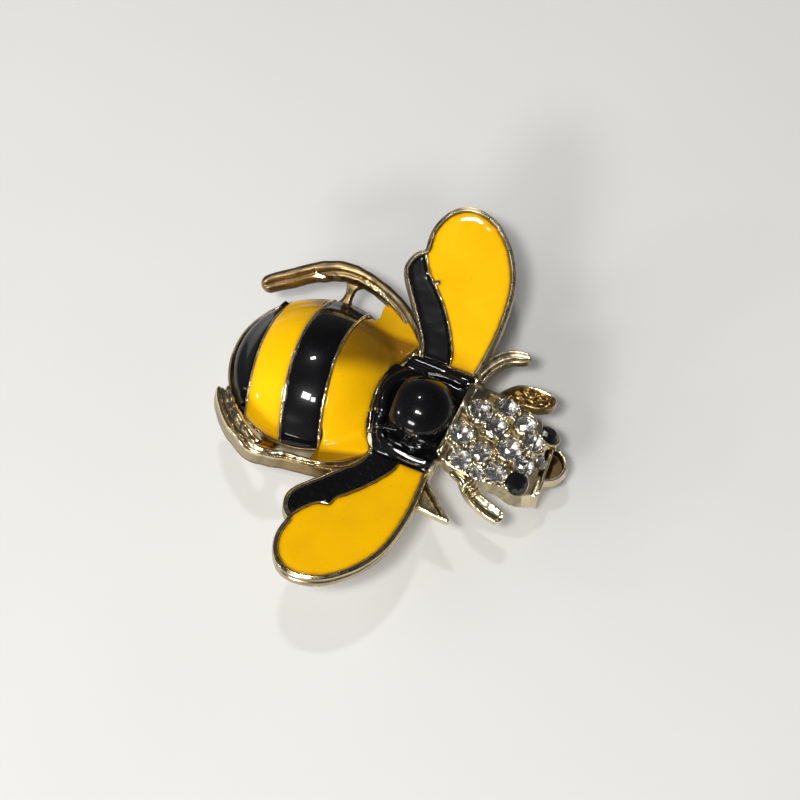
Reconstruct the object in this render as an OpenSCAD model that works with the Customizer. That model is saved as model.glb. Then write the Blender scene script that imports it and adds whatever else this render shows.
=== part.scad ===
// Bee brooch: a gilt casting with enamel fields, set stones and a pin back. Millimetres.
// X runs to the head, Y to the bee's left, Z up from the surface that the brooch lies on.

/* [Levels] */
// Height of the abdomen's rim above the surface
rim_z = 5.2; // [4.8:0.1:6.2]
// Thickness of the metal under the abdomen's rim and the thorax floor
body_wall_h = 2.2; // [1.8:0.1:2.6]
// Clearance between two pieces that are fitted together
fit_gap = 0.04; // [0.02:0.01:0.08]

/* [Abdomen] */
// Radius of the dome at its rim
dome_r = 8.5; // [7.8:0.1:9]
// Rise of the dome above its rim
dome_rise = 4.7; // [4.2:0.1:5.4]
// Width of the gilt ledge round the dome
rim_ledge = 0.3; // [0.2:0.05:0.5]
// Length from the waist back to the end of the tail
abdomen_len = 15.4; // [15:0.1:16]
// Thickness of the enamel
enamel_t = 0.5; // [0.3:0.05:0.6]
// Width of the gilt ridges between the enamel bands
ridge_w = 0.3; // [0.2:0.05:0.5]
// Radius of the curve that the ridges follow, seen from above
ridge_curve_r = 40; // [30:1:60]
// How far the ridges are turned on the dome, in degrees
ridge_turn = 6.5; // [0:0.5:9]
// Depth of the dish in the abdomen's back
dish_depth = 3.3; // [2.5:0.1:3.5]
// Radius of the dish in the abdomen's back
dish_r = 5.9; // [5:0.1:6]

/* [Thorax] */
// Length of the thorax along the body
thorax_len = 8.5; // [8:0.1:9.2]
// Half of the thorax's width
thorax_half_w = 6; // [5.6:0.1:6.4]
// Bulge of the thorax's rear edge towards the tail
waist_bulge = 1.7; // [1.2:0.1:2.1]
// Radius of the round boss on the thorax
boss_r = 3.8; // [3.4:0.1:4.1]
// Width of the bars along the sides of the thorax
side_bar_w = 1.5; // [1.1:0.1:1.7]
// Height of the bars' crest above the abdomen's rim
side_bar_rise = 1; // [0.8:0.1:1.4]

/* [Head] */
// Length of the head from the thorax to its front edge
head_len = 10; // [9.8:0.1:11]
// Half of the head's width
head_half_w = 4.9; // [4.8:0.1:5.4]
// Height of the head's rear edge above the abdomen's rim
head_rise = 1.9; // [1.6:0.1:2.2]
// Fall of the stone field towards the front, in degrees
head_pitch = 8; // [6:0.5:10]
// Length of the steep front face
nose_len = 1.45; // [1.3:0.05:1.7]
// Drop of the steep front face
nose_drop = 1.9; // [1.6:0.1:2.1]
// Thickness of the head's plate at its rear
head_plate_h = 1.8; // [1.5:0.1:2.2]
// Height of the wall below the front edge
front_wall_h = 2.4; // [2:0.1:2.6]
// Thickness of the bar along the front edge
snout_bar_w = 0.5; // [0.3:0.05:0.7]
// Half of the width of the keel under the head
keel_half_w = 3; // [2.4:0.1:3.4]
// Radius of the cup under the front edge
cup_r = 2.05; // [1.7:0.05:2.2]
// Wall of the cup
cup_wall = 0.35; // [0.25:0.05:0.5]
// Height of the cup
cup_h = 1.4; // [1.2:0.1:1.7]

/* [Stones] */
// Diameter of the three large stones
stone_large_d = 2.3; // [2:0.05:2.35]
// Diameter of the middle stones
stone_mid_d = 2; // [1.7:0.05:2.05]
// Diameter of the small stones at the edges
stone_small_d = 1.45; // [1.2:0.05:1.5]
// Diameter of the eyes
eye_d = 2.1; // [1.7:0.05:2.15]

/* [Wings] */
// Length of a wing from the thorax to its tip
wing_span = 17.1; // [16:0.1:18]
// Breadth of a wing along the body
wing_chord = 11.5; // [10.8:0.1:12]
// Height of a wing's edge wall
wing_h = 1.4; // [1.3:0.1:1.7]
// Width of the gilt rim round the enamel
wing_rim = 0.4; // [0.3:0.05:0.55]
// Rise of the wing towards its tip, in degrees
wing_tilt = 10.6; // [8:0.2:12]
// Backward turn of the left wing, in degrees
left_wing_sweep = 2.4; // [0:0.2:3.4]
// Depth of the recess in the wing's back
wing_dish = 0.5; // [0.3:0.1:0.7]

/* [Legs] */
// Reach of the hind legs towards the tail
hind_leg_back = 16.6; // [16:0.1:17]
// Reach of the hind legs outside the thorax
hind_leg_out = 5.5; // [5.2:0.1:5.9]
// Width of the hind legs
hind_leg_w = 1.5; // [1.3:0.1:1.8]
// Thickness of the hind legs
hind_leg_h = 1.9; // [1.6:0.1:2.1]
// Rise of the hind legs outwards, in degrees
hind_leg_tilt = 15; // [12:0.5:17]
// Rise of the hind legs towards the tail, in degrees
hind_leg_climb = 5.3; // [4:0.5:6]
// Width of the strut between the hind leg and the abdomen
strut_w = 0.9; // [0.6:0.1:1.1]
// Thickness of the middle and fore legs
front_leg_h = 1.1; // [1:0.1:1.3]
// Thickness of the pointed middle leg
mid_blade_h = 0.7; // [0.6:0.1:1]
// Reach of the middle legs ahead of the thorax
mid_leg_ahead = 4; // [3.5:0.1:4.4]
// Reach of the middle legs outside the thorax
mid_leg_out = 4.1; // [3.6:0.1:4.5]
// Width of the narrow middle leg
mid_leg_w = 1.3; // [1:0.1:1.5]
// Length of the fore legs
fore_leg_len = 5.9; // [5.4:0.1:6.4]
// Reach of the broad fore leg outside the head
fore_paddle_out = 3; // [2.6:0.1:3.3]
// Reach of the narrow fore leg outside the head
fore_band_out = 2.4; // [2.2:0.1:2.8]
// Width of the narrow fore leg
fore_leg_w = 1.3; // [1:0.1:1.5]

/* [Pin back] */
// Width of the bar and of the feet at its ends
bar_w = 4.4; // [4:0.1:5.5]
// Thickness of the bar
bar_t = 0.8; // [0.6:0.1:1]
// Distance between the outer ends of the hinge and the catch
pin_len = 21; // [18:0.5:22]
// Length of the hinge block and of the catch block
foot_len = 2.6; // [2:0.1:3.2]
// Radius of the pin stem
stem_r = 0.4; // [0.3:0.05:0.5]

/* [Hidden] */
$fn = 96;

// Metal forms that join reach this far into each other
joint_sink = 0.5;
// The waist is the middle of the thorax's rear edge, and most lengths start there
waist_x = -2.2;
body_back_z = rim_z - body_wall_h;
dome_x = waist_x - abdomen_len + dome_r + rim_ledge;
dome_ball_r = (dome_r * dome_r + dome_rise * dome_rise) / (2 * dome_rise);
dome_ball_z = rim_z + dome_rise - dome_ball_r;
dome_metal_r = dome_ball_r - enamel_t - fit_gap;
// Places of the three ridges: shares of the abdomen's length behind the waist
ridge_shares = [0.793, 0.54, 0.28];

thorax_front_x = waist_x + thorax_len;
thorax_floor_z = rim_z - 0.2;
waist_curve_r = (thorax_half_w * thorax_half_w + waist_bulge * waist_bulge) / (2 * waist_bulge);
// The thorax's rear edge lies a little ahead of the waist, with its bulge set to the left
waist_ahead = 0.55;
waist_left = 0.6;
deck_rise = 0.5;
boss_rise = 0.55;
slab_rise = 1.4;
deck_z = rim_z + deck_rise;
boss_x = waist_x + 0.6 * thorax_len;
boss_z = rim_z + boss_rise;
boss_rear_x = waist_x + 0.3 * thorax_len;
boss_skin_share = 1.2;
slab_len = 0.265 * thorax_len;
slab_z = rim_z + slab_rise;

head_rear_x = thorax_front_x + fit_gap;
head_rear_z = rim_z + head_rise;
head_front_x = thorax_front_x + head_len;
nose_x = head_front_x - nose_len;
nose_z = head_rear_z - (nose_x - head_rear_x) * tan(head_pitch);
front_z = nose_z - nose_drop;
head_back_z = front_z - front_wall_h;
snout_step = 0.4;
snout_bar_proud = 0.15;
chin_x = nose_x - 0.2 * head_len;
// The front edge runs a little askew: its left end lies this much further back
front_skew = 0.75;
cup_drop = 0.2;

// Stone field. Columns: share of the head's length ahead of the thorax, share of the head's half width
// to the left, size (0 large, 1 middle, 2 small, 3 eye), lean to the front and lean to the left in degrees
STONES = [
    [0.218, 0.45, 0, 8, 6], [0.436, 0.785, 1, 8, 14], [0.673, 0.61, 1, 10, 12],
    [0.42, 0.275, 1, 8, 3], [0.14, -0.185, 0, 6, -2], [0.39, -0.378, 1, 8, -5],
    [0.633, -0.04, 0, 9, 0], [0.812, 0.306, 1, 18, 5], [0.248, -0.715, 1, 6, -12],
    [0.613, -0.654, 1, 10, -10], [0.832, -0.245, 1, 18, -4], [0.45, -0.838, 2, 8, -18],
    [0.945, 0.071, 2, 50, 0]];
EYES = [[0.915, 0.69, 3, 26, 24], [0.846, -0.665, 3, 20, -22]];
stone_sizes = [stone_large_d, stone_mid_d, stone_small_d, eye_d];
stone_sides = 8;
stone_depth_share = 0.42;
stone_crown_share = 0.2;
stone_table_share = 0.56;
girdle_share = 0.05;

// Wing outlines. Columns: share of the chord behind the thorax's front, share of the span outside it
LEAD_EDGE = [[0, -0.05], [-0.035, 0.09], [-0.057, 0.275], [-0.052, 0.446], [-0.022, 0.593], [0.052, 0.728],
    [0.17, 0.85], [0.339, 0.954], [0.548, 1], [0.713, 0.972], [0.826, 0.887], [0.878, 0.771]];
SPLIT_LINE = [[0.865, 0.648], [0.765, 0.526], [0.643, 0.44], [0.522, 0.349], [0.409, 0.245], [0.322, 0.141],
    [0.27, 0.055], [0.252, -0.05]];
TRAIL_EDGE = [[0.939, 0.6], [0.978, 0.52], [0.955, 0.446], [0.878, 0.367], [0.774, 0.269], [0.661, 0.159],
    [0.574, 0.061], [0.539, -0.05]];
wing_root_rise = 0.9;
wing_root_z = rim_z + wing_root_rise;
enamel_low = 0.08;
root_rim = 0.3;

// Middle lines of the legs. Columns: share of the reach along the body, share of the reach outwards,
// share of the leg's width
HIND_LEG_LEFT = [[-0.05, -0.1, 1], [0.02, 0.16, 1], [0.06, 0.34, 1], [0.12, 0.5, 1], [0.19, 0.65, 1],
    [0.295, 0.79, 1], [0.4, 0.88, 1], [0.52, 0.93, 1.05], [0.65, 0.91, 1.05], [0.74, 0.77, 1],
    [0.84, 0.54, 0.95], [0.94, 0.3, 0.9], [1.05, 0.02, 0.6]];
HIND_LEG_RIGHT = [[-0.05, -0.1, 1], [0.01, 0.28, 1], [0.08, 0.52, 1], [0.17, 0.68, 0.9], [0.28, 0.78, 0.85],
    [0.4, 0.86, 0.9], [0.515, 0.965, 1.05], [0.6, 1, 1.05], [0.69, 0.87, 1], [0.785, 0.68, 1],
    [0.87, 0.42, 0.9], [0.925, 0.2, 0.8], [0.96, 0, 0.6]];
MID_LEG = [[-0.05, -0.25, 1], [0.05, 0.2, 1], [0.22, 0.55, 1], [0.5, 0.83, 1], [0.78, 0.94, 0.9],
    [1, 1, 0.65]];
FORE_LEG = [[0.1, -0.15, 1], [0.2, 0.25, 0.9], [0.36, 0.55, 1], [0.6, 0.78, 1.05], [0.85, 0.92, 1.05],
    [1, 1, 0.8]];
// Outlines of the two broad legs. Columns: share of the reach along the body, share of the reach outwards
MID_BLADE = [[-0.1, -0.2], [0.12, 0.25], [1, 0.96], [0.97, 1.04], [0.08, 1], [-0.1, 0.6]];
FORE_PADDLE = [[0, -0.1], [0.12, 0.38], [0.31, 0.76], [0.61, 0.93], [0.9, 0.9], [1, 0.69], [0.97, 0.4],
    [0.78, 0.14], [0.51, 0.03], [0.4, -0.15]];

// Corners of the web. Columns: shares of the hind leg's reach, back from its root and out from the thorax
WEB = [[-0.2, -0.4], [0.95, -0.4], [0.95, 0.68], [0.55, 0.62], [0.2, 0.35], [-0.05, 0.1]];
leg_root_rise = 0.7;
fore_root_rise = 1.1;
mid_root_ahead = 0.2;
mid_leg_tilt = 6;
blade_hollow = 0.4;
blade_hollow_share = 0.58;
strut_back = 0.8;
strut_drop = 1;
strut_tilt = 38;
strut_share = 0.52;
strut_h = 0.8;
web_h = 1.2;
web_fill_h = 0.9;
socket_wall = 0.25;

bar_top_z = body_back_z - fit_gap;
bar_z = bar_top_z - bar_t;
hinge_back = 1.6;
hinge_x = dome_x - dish_r - hinge_back;
stem_z = 0.45 * bar_z;

// Points of a smooth line through the given ones, n steps from each to the next
function flow_point(p, i, t) =
    let (a = p[max(i - 1, 0)], b = p[i], c = p[i + 1], d = p[min(i + 2, len(p) - 1)])
    0.5 * (2 * b + (c - a) * t + (2 * a - 5 * b + 4 * c - d) * t * t + (3 * b - a - 3 * c + d) * t * t * t);
function flow(p, n = 3) = concat(
    [for (i = [0:len(p) - 2], k = [0:n - 1]) flow_point(p, i, k / n)], [p[len(p) - 1]]);
function backwards(p) = [for (i = [len(p) - 1:-1:0]) p[i]];
function sized(p, along, out) = [for (r = p) [r[0] * along, r[1] * out]];
function unit(v) = v / norm(v);
function leftward(v) = [-v[1], v[0]];
// An open line moved to its left by d, and a closed outline moved inwards by d when it runs left round
function line_normal(p, i) = leftward(unit(p[min(i + 1, len(p) - 1)] - p[max(i - 1, 0)]));
function moved(p, d) = [for (i = [0:len(p) - 1]) p[i] + d * line_normal(p, i)];
function inset(p, d) = let (n = len(p)) [for (i = [0:n - 1])
    let (a = leftward(unit(p[i] - p[(i + n - 1) % n])), b = leftward(unit(p[(i + 1) % n] - p[i])),
         m = unit(a + b))
    p[i] + m * d / max(m * a, 0.5)];
// A band of changing width along a middle line
function ribbon(p, w) = concat(
    [for (i = [0:len(p) - 1]) p[i] + 0.5 * w[i] * line_normal(p, i)],
    [for (i = [len(p) - 1:-1:0]) p[i] - 0.5 * w[i] * line_normal(p, i)]);
function leg_outline(rows, along, out, width) =
    let (line = flow([for (r = rows) [r[0] * along, r[1] * out, r[2] * width]]))
    ribbon([for (q = line) [q[0], q[1]]], [for (q = line) q[2]]);

module right_side() { mirror([0, 1, 0]) children(); }

// Plan of the ridges: each is an arc turned a little on the dome
module ridge_disc(share, grow) {
    translate([dome_x, 0])
        rotate(ridge_turn)
            translate([waist_x - share * abdomen_len - dome_x + ridge_curve_r, 0])
                circle(r = ridge_curve_r + grow, $fn = 360);
}

module thorax_plan(grow) {
    intersection() {
        translate([waist_x - waist_bulge, -thorax_half_w - grow])
            square([thorax_len + waist_bulge + grow, 2 * (thorax_half_w + grow)]);
        translate([waist_x + waist_ahead + waist_curve_r, waist_left])
            circle(r = waist_curve_r + grow, $fn = 180);
    }
}

module block(h, z = 0) {
    translate([0, 0, z]) linear_extrude(h) children();
}

// Enamel shell over the whole dome, thicker by grow on the inside and past the edges
module dome_shell(grow) {
    difference() {
        intersection() {
            translate([dome_x, 0, dome_ball_z]) sphere(r = dome_ball_r + grow);
            translate([dome_x, 0, rim_z + fit_gap - grow]) cylinder(r = 2 * dome_r, h = 2 * dome_rise);
        }
        translate([dome_x, 0, dome_ball_z]) sphere(r = dome_ball_r - enamel_t - grow);
    }
}

// All that lies ahead of a ridge, or of the thorax's edge, and all that lies behind a ridge
module ahead_of_ridge(share) {
    block(2 * abdomen_len) ridge_disc(share, ridge_w / 2 + fit_gap);
}
module ahead_of_waist() {
    block(2 * abdomen_len) thorax_plan(ridge_w + fit_gap);
}
module behind_ridge(share) {
    block(2 * abdomen_len) difference() {
        square(4 * abdomen_len, center = true);
        ridge_disc(share, -ridge_w / 2 - fit_gap);
    }
}

module abdomen_tail_black() {
    color("#0a0a0c") difference() {
        dome_shell(0);
        ahead_of_ridge(ridge_shares[0]);
    }
}
module abdomen_rear_yellow() {
    color("#f0b800") difference() {
        dome_shell(0);
        ahead_of_ridge(ridge_shares[1]);
        behind_ridge(ridge_shares[0]);
    }
}
module abdomen_band_black() {
    color("#0a0a0c") difference() {
        dome_shell(0);
        ahead_of_ridge(ridge_shares[2]);
        behind_ridge(ridge_shares[1]);
    }
}
module web_fill(rows, sweep) {
    difference() {
        block(web_fill_h, rim_z + fit_gap) web_plan();
        translate([dome_x, 0, 0]) cylinder(r = dome_r - rim_ledge, h = 4 * rim_z);
        hind_band(rows, fit_gap);
        wing_block(sweep, fit_gap);
    }
}
module abdomen_front_yellow() {
    color("#f0b800") difference() {
        union() {
            dome_shell(0);
            web_fill(HIND_LEG_LEFT, left_wing_sweep);
            right_side() web_fill(HIND_LEG_RIGHT, 0);
        }
        ahead_of_waist();
        behind_ridge(ridge_shares[2]);
    }
}

// Thorax: a deck with a bar along each side, a slab behind and a round boss
module thorax_form(grow) {
    bar_r = side_bar_w / 2 + grow;
    bar_y = thorax_half_w - side_bar_w / 2;
    bar_front = thorax_front_x + grow;
    block(deck_z - thorax_floor_z + grow, thorax_floor_z + fit_gap - grow) thorax_plan(grow);
    block(slab_z - thorax_floor_z + grow, thorax_floor_z + fit_gap - grow) intersection() {
        thorax_plan(grow);
        translate([waist_x - waist_bulge, -boss_r - grow])
            square([waist_bulge + slab_len + grow, 2 * (boss_r + grow)]);
    }
    for (side = [-1, 1]) intersection() {
        translate([waist_x, side * bar_y, rim_z + side_bar_rise - side_bar_w / 2])
            rotate([0, 90, 0]) cylinder(r = bar_r, h = thorax_len + grow);
        block(2 * rim_z, rim_z) thorax_plan(grow);
    }
    intersection() {
        translate([boss_x, 0, boss_z]) sphere(r = boss_r + grow);
        translate([boss_rear_x - grow, -2 * boss_r, thorax_floor_z + fit_gap - grow])
            cube([bar_front - boss_rear_x + grow, 4 * boss_r, 3 * boss_r]);
    }
}

// Metal core of the boss, joined to the head's rear face
module thorax_core(grow) {
    core_len = head_rear_x + joint_sink - boss_rear_x - enamel_t;
    intersection() {
        translate([boss_x, 0, boss_z]) sphere(r = boss_r - boss_skin_share * enamel_t + grow);
        translate([boss_rear_x + enamel_t - grow, -2 * boss_r, thorax_floor_z - joint_sink])
            cube([core_len + 2 * grow, 4 * boss_r, 3 * boss_r]);
    }
}

module thorax_black() {
    color("#0a0a0c") difference() {
        thorax_form(0);
        thorax_core(fit_gap);
    }
}

// Wings: a tray in the wing's own plane, with the rim's top at z = 0 and the thorax's side at y = 0
module wing_place(sweep) {
    translate([thorax_front_x, thorax_half_w, wing_root_z])
        rotate([wing_tilt, 0, sweep]) children();
}
function wing_points(rows) = flow(sized(rows, -wing_chord, wing_span));
wing_lead = wing_points(concat(LEAD_EDGE, [SPLIT_LINE[0]]));
wing_split = wing_points(SPLIT_LINE);
wing_trail = wing_points(concat([SPLIT_LINE[0]], TRAIL_EDGE));
wing_outline = concat(wing_lead, [for (i = [1:len(wing_trail) - 1]) wing_trail[i]]);

module wing_field(inner, half_ridge) {
    intersection() {
        polygon(inset(wing_outline, inner));
        polygon(concat(half_ridge > 0 ? wing_lead : backwards(wing_trail),
            moved(wing_split, half_ridge)));
        translate([-2 * wing_chord, root_rim + inner - wing_rim])
            square([4 * wing_chord, 2 * wing_span]);
    }
}
module wing_fill(side, sweep) {
    wing_place(sweep)
        block(enamel_t - fit_gap - enamel_low, fit_gap - enamel_t)
            wing_field(wing_rim + fit_gap, side * (ridge_w / 2 + fit_gap));
}
module wing_pockets(sweep) {
    wing_place(sweep)
        for (side = [-1, 1])
            block(3 * enamel_t, -enamel_t) wing_field(wing_rim, side * ridge_w / 2);
}
module wing_block(sweep, grow) {
    wing_place(sweep) block(wing_h + 2 * grow, -wing_h - grow) polygon(inset(wing_outline, -grow));
}
module wing_tray(sweep) {
    back_rim = 2 * wing_rim;
    difference() {
        wing_block(sweep, 0);
        wing_place(sweep) block(wing_h + wing_dish, -2 * wing_h) intersection() {
            polygon(inset(wing_outline, back_rim));
            translate([-2 * wing_chord, 2 * back_rim]) square([4 * wing_chord, 2 * wing_span]);
        }
    }
}
module left_wing_yellow() { color("#f0b800") wing_fill(1, left_wing_sweep); }
module right_wing_yellow() { color("#f0b800") right_side() wing_fill(1, 0); }
module left_wing_black() { color("#0a0a0c") wing_fill(-1, left_wing_sweep); }
module right_wing_black() { color("#0a0a0c") right_side() wing_fill(-1, 0); }

// Legs: flat bands tilted so that their bends stand higher than their roots
hind_root_x = waist_x + 0.22 * thorax_len;
module hind_band(rows, grow) {
    translate([hind_root_x, thorax_half_w, rim_z + leg_root_rise])
        rotate([hind_leg_tilt, hind_leg_climb, 0])
            block(hind_leg_h + 2 * grow, -hind_leg_h - grow)
                polygon(leg_outline(rows, -hind_leg_back, hind_leg_out, hind_leg_w + 2 * grow));
}
// Plan of the web that fills the corner between the thorax, the dome and the hind leg's root
module web_plan() {
    polygon([for (q = WEB) [hind_root_x - q[0] * hind_leg_out, thorax_half_w + q[1] * hind_leg_out]]);
}
module hind_leg(rows) {
    hind_band(rows, 0);
    translate([dome_x - strut_back, dome_r - rim_ledge, rim_z - strut_drop])
        rotate([strut_tilt, 0, 0])
            translate([-strut_w / 2, 0, 0]) cube([strut_w, strut_share * hind_leg_out, strut_h]);
    block(web_h, rim_z - web_h) web_plan();
}
module mid_place() {
    translate([thorax_front_x + mid_root_ahead, thorax_half_w, rim_z + leg_root_rise])
        rotate([mid_leg_tilt, 0, 0]) children();
}
module mid_band() {
    mid_place() block(front_leg_h, -front_leg_h)
        polygon(leg_outline(MID_LEG, mid_leg_ahead, mid_leg_out, mid_leg_w));
}
module mid_blade() {
    blade = sized(MID_BLADE, mid_leg_ahead, mid_leg_out);
    middle = [0.28 * mid_leg_ahead, 0.62 * mid_leg_out];
    mid_place() difference() {
        block(mid_blade_h, -mid_blade_h) polygon(blade);
        block(mid_blade_h, -blade_hollow)
            polygon([for (q = blade) middle + blade_hollow_share * (q - middle)]);
    }
}
module fore_paddle() {
    translate([thorax_front_x + 0.25 * head_len, head_half_w, rim_z + leg_root_rise])
        rotate([-3, 3, 0]) block(front_leg_h, -front_leg_h)
            polygon(flow(sized(FORE_PADDLE, fore_leg_len, fore_paddle_out)));
}
module fore_band() {
    translate([thorax_front_x + 0.28 * head_len, head_half_w, rim_z + fore_root_rise])
        rotate([-6, 6, 0]) block(front_leg_h, -front_leg_h)
            polygon(leg_outline(FORE_LEG, fore_leg_len, fore_band_out, fore_leg_w));
}

// Head: the plan's outline under a field that falls to the front and a steep front face
module head_plan() {
    polygon([[thorax_front_x - joint_sink, -0.74 * head_half_w],
        [thorax_front_x + 0.04 * head_len, -0.86 * head_half_w],
        [thorax_front_x + 0.14 * head_len, -0.96 * head_half_w],
        [thorax_front_x + 0.4 * head_len, -head_half_w],
        [thorax_front_x + 0.6 * head_len, -0.95 * head_half_w],
        [thorax_front_x + 0.8 * head_len, -0.87 * head_half_w],
        [head_front_x, -0.63 * head_half_w],
        [head_front_x - front_skew, 0.59 * head_half_w],
        [thorax_front_x + 0.78 * head_len, 0.83 * head_half_w],
        [thorax_front_x + 0.6 * head_len, 0.93 * head_half_w],
        [thorax_front_x + 0.4 * head_len, head_half_w],
        [thorax_front_x + 0.1 * head_len, 0.97 * head_half_w],
        [thorax_front_x - joint_sink, 0.88 * head_half_w]]);
}
module head_profile() {
    polygon([[head_rear_x, head_rear_z - head_plate_h], [head_rear_x, head_rear_z], [nose_x, nose_z],
        [head_front_x, front_z], [head_front_x + joint_sink, front_z],
        [head_front_x + joint_sink, head_back_z],
        [nose_x, head_back_z + snout_step], [chin_x, nose_z - head_plate_h]]);
}
module keel_profile() {
    polygon([[thorax_front_x - joint_sink, body_back_z], [thorax_front_x - joint_sink, thorax_floor_z],
        [head_rear_x, thorax_floor_z], [head_rear_x, head_rear_z - 0.5 * head_plate_h],
        [chin_x, nose_z - 0.5 * head_plate_h], [nose_x, head_back_z + snout_step]]);
}
module along_y(half_w) {
    rotate([90, 0, 0]) translate([0, 0, -half_w]) linear_extrude(2 * half_w) children();
}
module head_block() {
    intersection() {
        block(4 * rim_z) head_plan();
        along_y(2 * head_half_w) head_profile();
    }
    along_y(keel_half_w) keel_profile();
    // Bar along the front edge
    block(front_wall_h + snout_bar_proud, head_back_z) polygon([
        [head_front_x - snout_bar_w, -0.63 * head_half_w],
        [head_front_x + snout_bar_w, -0.63 * head_half_w],
        [head_front_x + snout_bar_w - front_skew, 0.59 * head_half_w],
        [head_front_x - snout_bar_w - front_skew, 0.59 * head_half_w]]);
}
function head_top(x) = x < nose_x ? head_rear_z - (x - head_rear_x) * tan(head_pitch)
    : nose_z - (x - nose_x) * nose_drop / nose_len;
module stone_place(row) {
    x = thorax_front_x + row[0] * head_len;
    translate([x, row[1] * head_half_w, head_top(x)]) rotate([-row[4], row[3], 0]) children();
}
// A cut stone with its girdle at z = 0: table above, point below
module cut_stone(d) {
    r = d / 2;
    g = girdle_share * d;
    n = stone_sides;
    ring = function(radius, z, shift) [for (i = [0:n - 1])
        [radius * cos((i + shift) * 360 / n), radius * sin((i + shift) * 360 / n), z]];
    points = concat([[0, 0, -stone_depth_share * d]], ring(r, -g, 0), ring(r, 0, 0),
        ring(stone_table_share * r, stone_crown_share * d, 0));
    faces = concat(
        [for (i = [0:n - 1]) [0, 1 + i, 1 + (i + 1) % n]],
        [for (k = [0, 1], i = [0:n - 1])
            [1 + k * n + i, 1 + (k + 1) * n + i, 1 + (k + 1) * n + (i + 1) % n, 1 + k * n + (i + 1) % n]],
        [[for (i = [n - 1:-1:0]) 1 + 2 * n + i]]);
    polyhedron(points, faces);
}
module stone(row) {
    stone_place(row) cut_stone(stone_sizes[row[2]]);
}
module seat(row) {
    d = stone_sizes[row[2]];
    deep = stone_depth_share * d + fit_gap;
    stone_place(row) translate([0, 0, -deep]) cylinder(r = d / 2 + fit_gap, h = deep + d);
}
module eye_socket(row) {
    deep = stone_depth_share * eye_d + 2 * fit_gap;
    stone_place(row) translate([0, 0, -deep - joint_sink])
        cylinder(r = eye_d / 2 + socket_wall, h = deep + joint_sink);
}
module cup_place() {
    translate([head_front_x - front_skew / 2 + snout_bar_w / 2, 0.5 * cup_r, front_z - cup_h - cup_drop])
        children();
}
module front_cup_hollow() {
    difference() {
        cup_place() translate([0, 0, cup_wall]) cylinder(r = cup_r - cup_wall, h = cup_h + joint_sink);
        block(4 * rim_z) head_plan();
    }
}

// The metal of the abdomen: a ledge with a dished back, a dome core and the ridges standing on it
module dome_ball(r) {
    intersection() {
        translate([dome_x, 0, dome_ball_z]) sphere(r = r);
        translate([dome_x, 0, rim_z - joint_sink]) cylinder(r = 2 * dome_r, h = 2 * dome_rise);
    }
}
module ridges() {
    intersection() {
        dome_ball(dome_ball_r + 0.5 * fit_gap);
        block(4 * rim_z) union() {
            for (share = ridge_shares) difference() {
                ridge_disc(share, ridge_w / 2);
                ridge_disc(share, -ridge_w / 2);
            }
            difference() {
                thorax_plan(ridge_w);
                thorax_plan(0);
            }
        }
    }
}
module abdomen_metal() {
    difference() {
        union() {
            translate([dome_x, 0, body_back_z]) cylinder(r = dome_r + rim_ledge, h = body_wall_h);
            dome_ball(dome_metal_r);
            ridges();
        }
        translate([dome_x, 0, body_back_z - joint_sink]) cylinder(r = dish_r, h = dish_depth + joint_sink);
    }
}
// Room kept free for the enamel of the dome, which the legs and the web stay out of
module dome_room() {
    translate([0, 0, joint_sink]) dome_ball(dome_ball_r);
    dome_shell(fit_gap);
}

module casting() {
    color("#d8c08a") {
        difference() {
            union() {
                abdomen_metal();
                block(thorax_floor_z - body_back_z, body_back_z) thorax_plan(0);
                difference() {
                    union() {
                        hind_leg(HIND_LEG_LEFT);
                        right_side() hind_leg(HIND_LEG_RIGHT);
                    }
                    dome_room();
                }
                wing_tray(left_wing_sweep);
                right_side() wing_tray(0);
                mid_band();
                right_side() mid_blade();
                fore_paddle();
                right_side() fore_band();
                head_block();
                for (row = EYES) eye_socket(row);
                cup_place() cylinder(r = cup_r, h = cup_h);
            }
            block(4 * rim_z, thorax_floor_z) thorax_plan(fit_gap);
            for (row = STONES) seat(row);
            for (row = EYES) seat(row);
            front_cup_hollow();
            wing_pockets(left_wing_sweep);
            right_side() wing_pockets(0);
        }
        thorax_core(0);
    }
}

module numbered_stone(i) {
    color("#e8eef2") stone(STONES[i - 1]);
}
module left_eye() { color("#08080a") stone(EYES[0]); }
module right_eye() { color("#08080a") stone(EYES[1]); }

module pin_back() {
    color("#c8ad72") {
        translate([hinge_x, -bar_w / 2, bar_z]) cube([pin_len, bar_w, bar_t]);
        for (x = [hinge_x, hinge_x + pin_len - foot_len])
            translate([x, -bar_w / 2, 0]) cube([foot_len, bar_w, bar_z + bar_t / 2]);
        translate([hinge_x + foot_len / 2, 0, stem_z])
            rotate([0, 90, 0]) cylinder(r = stem_r, h = pin_len - foot_len);
    }
}

casting();
abdomen_tail_black();
abdomen_rear_yellow();
abdomen_band_black();
abdomen_front_yellow();
thorax_black();
left_wing_yellow();
right_wing_yellow();
left_wing_black();
right_wing_black();
for (i = [1:len(STONES)])
    numbered_stone(i);
left_eye();
right_eye();
pin_back();
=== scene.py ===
"""Looks of the bee brooch: gilt casting, poured enamel, cut stones and pin back, lying on a pale floor."""

import math

import bpy
import numpy as np
from mathutils import Matrix, Vector


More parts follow.
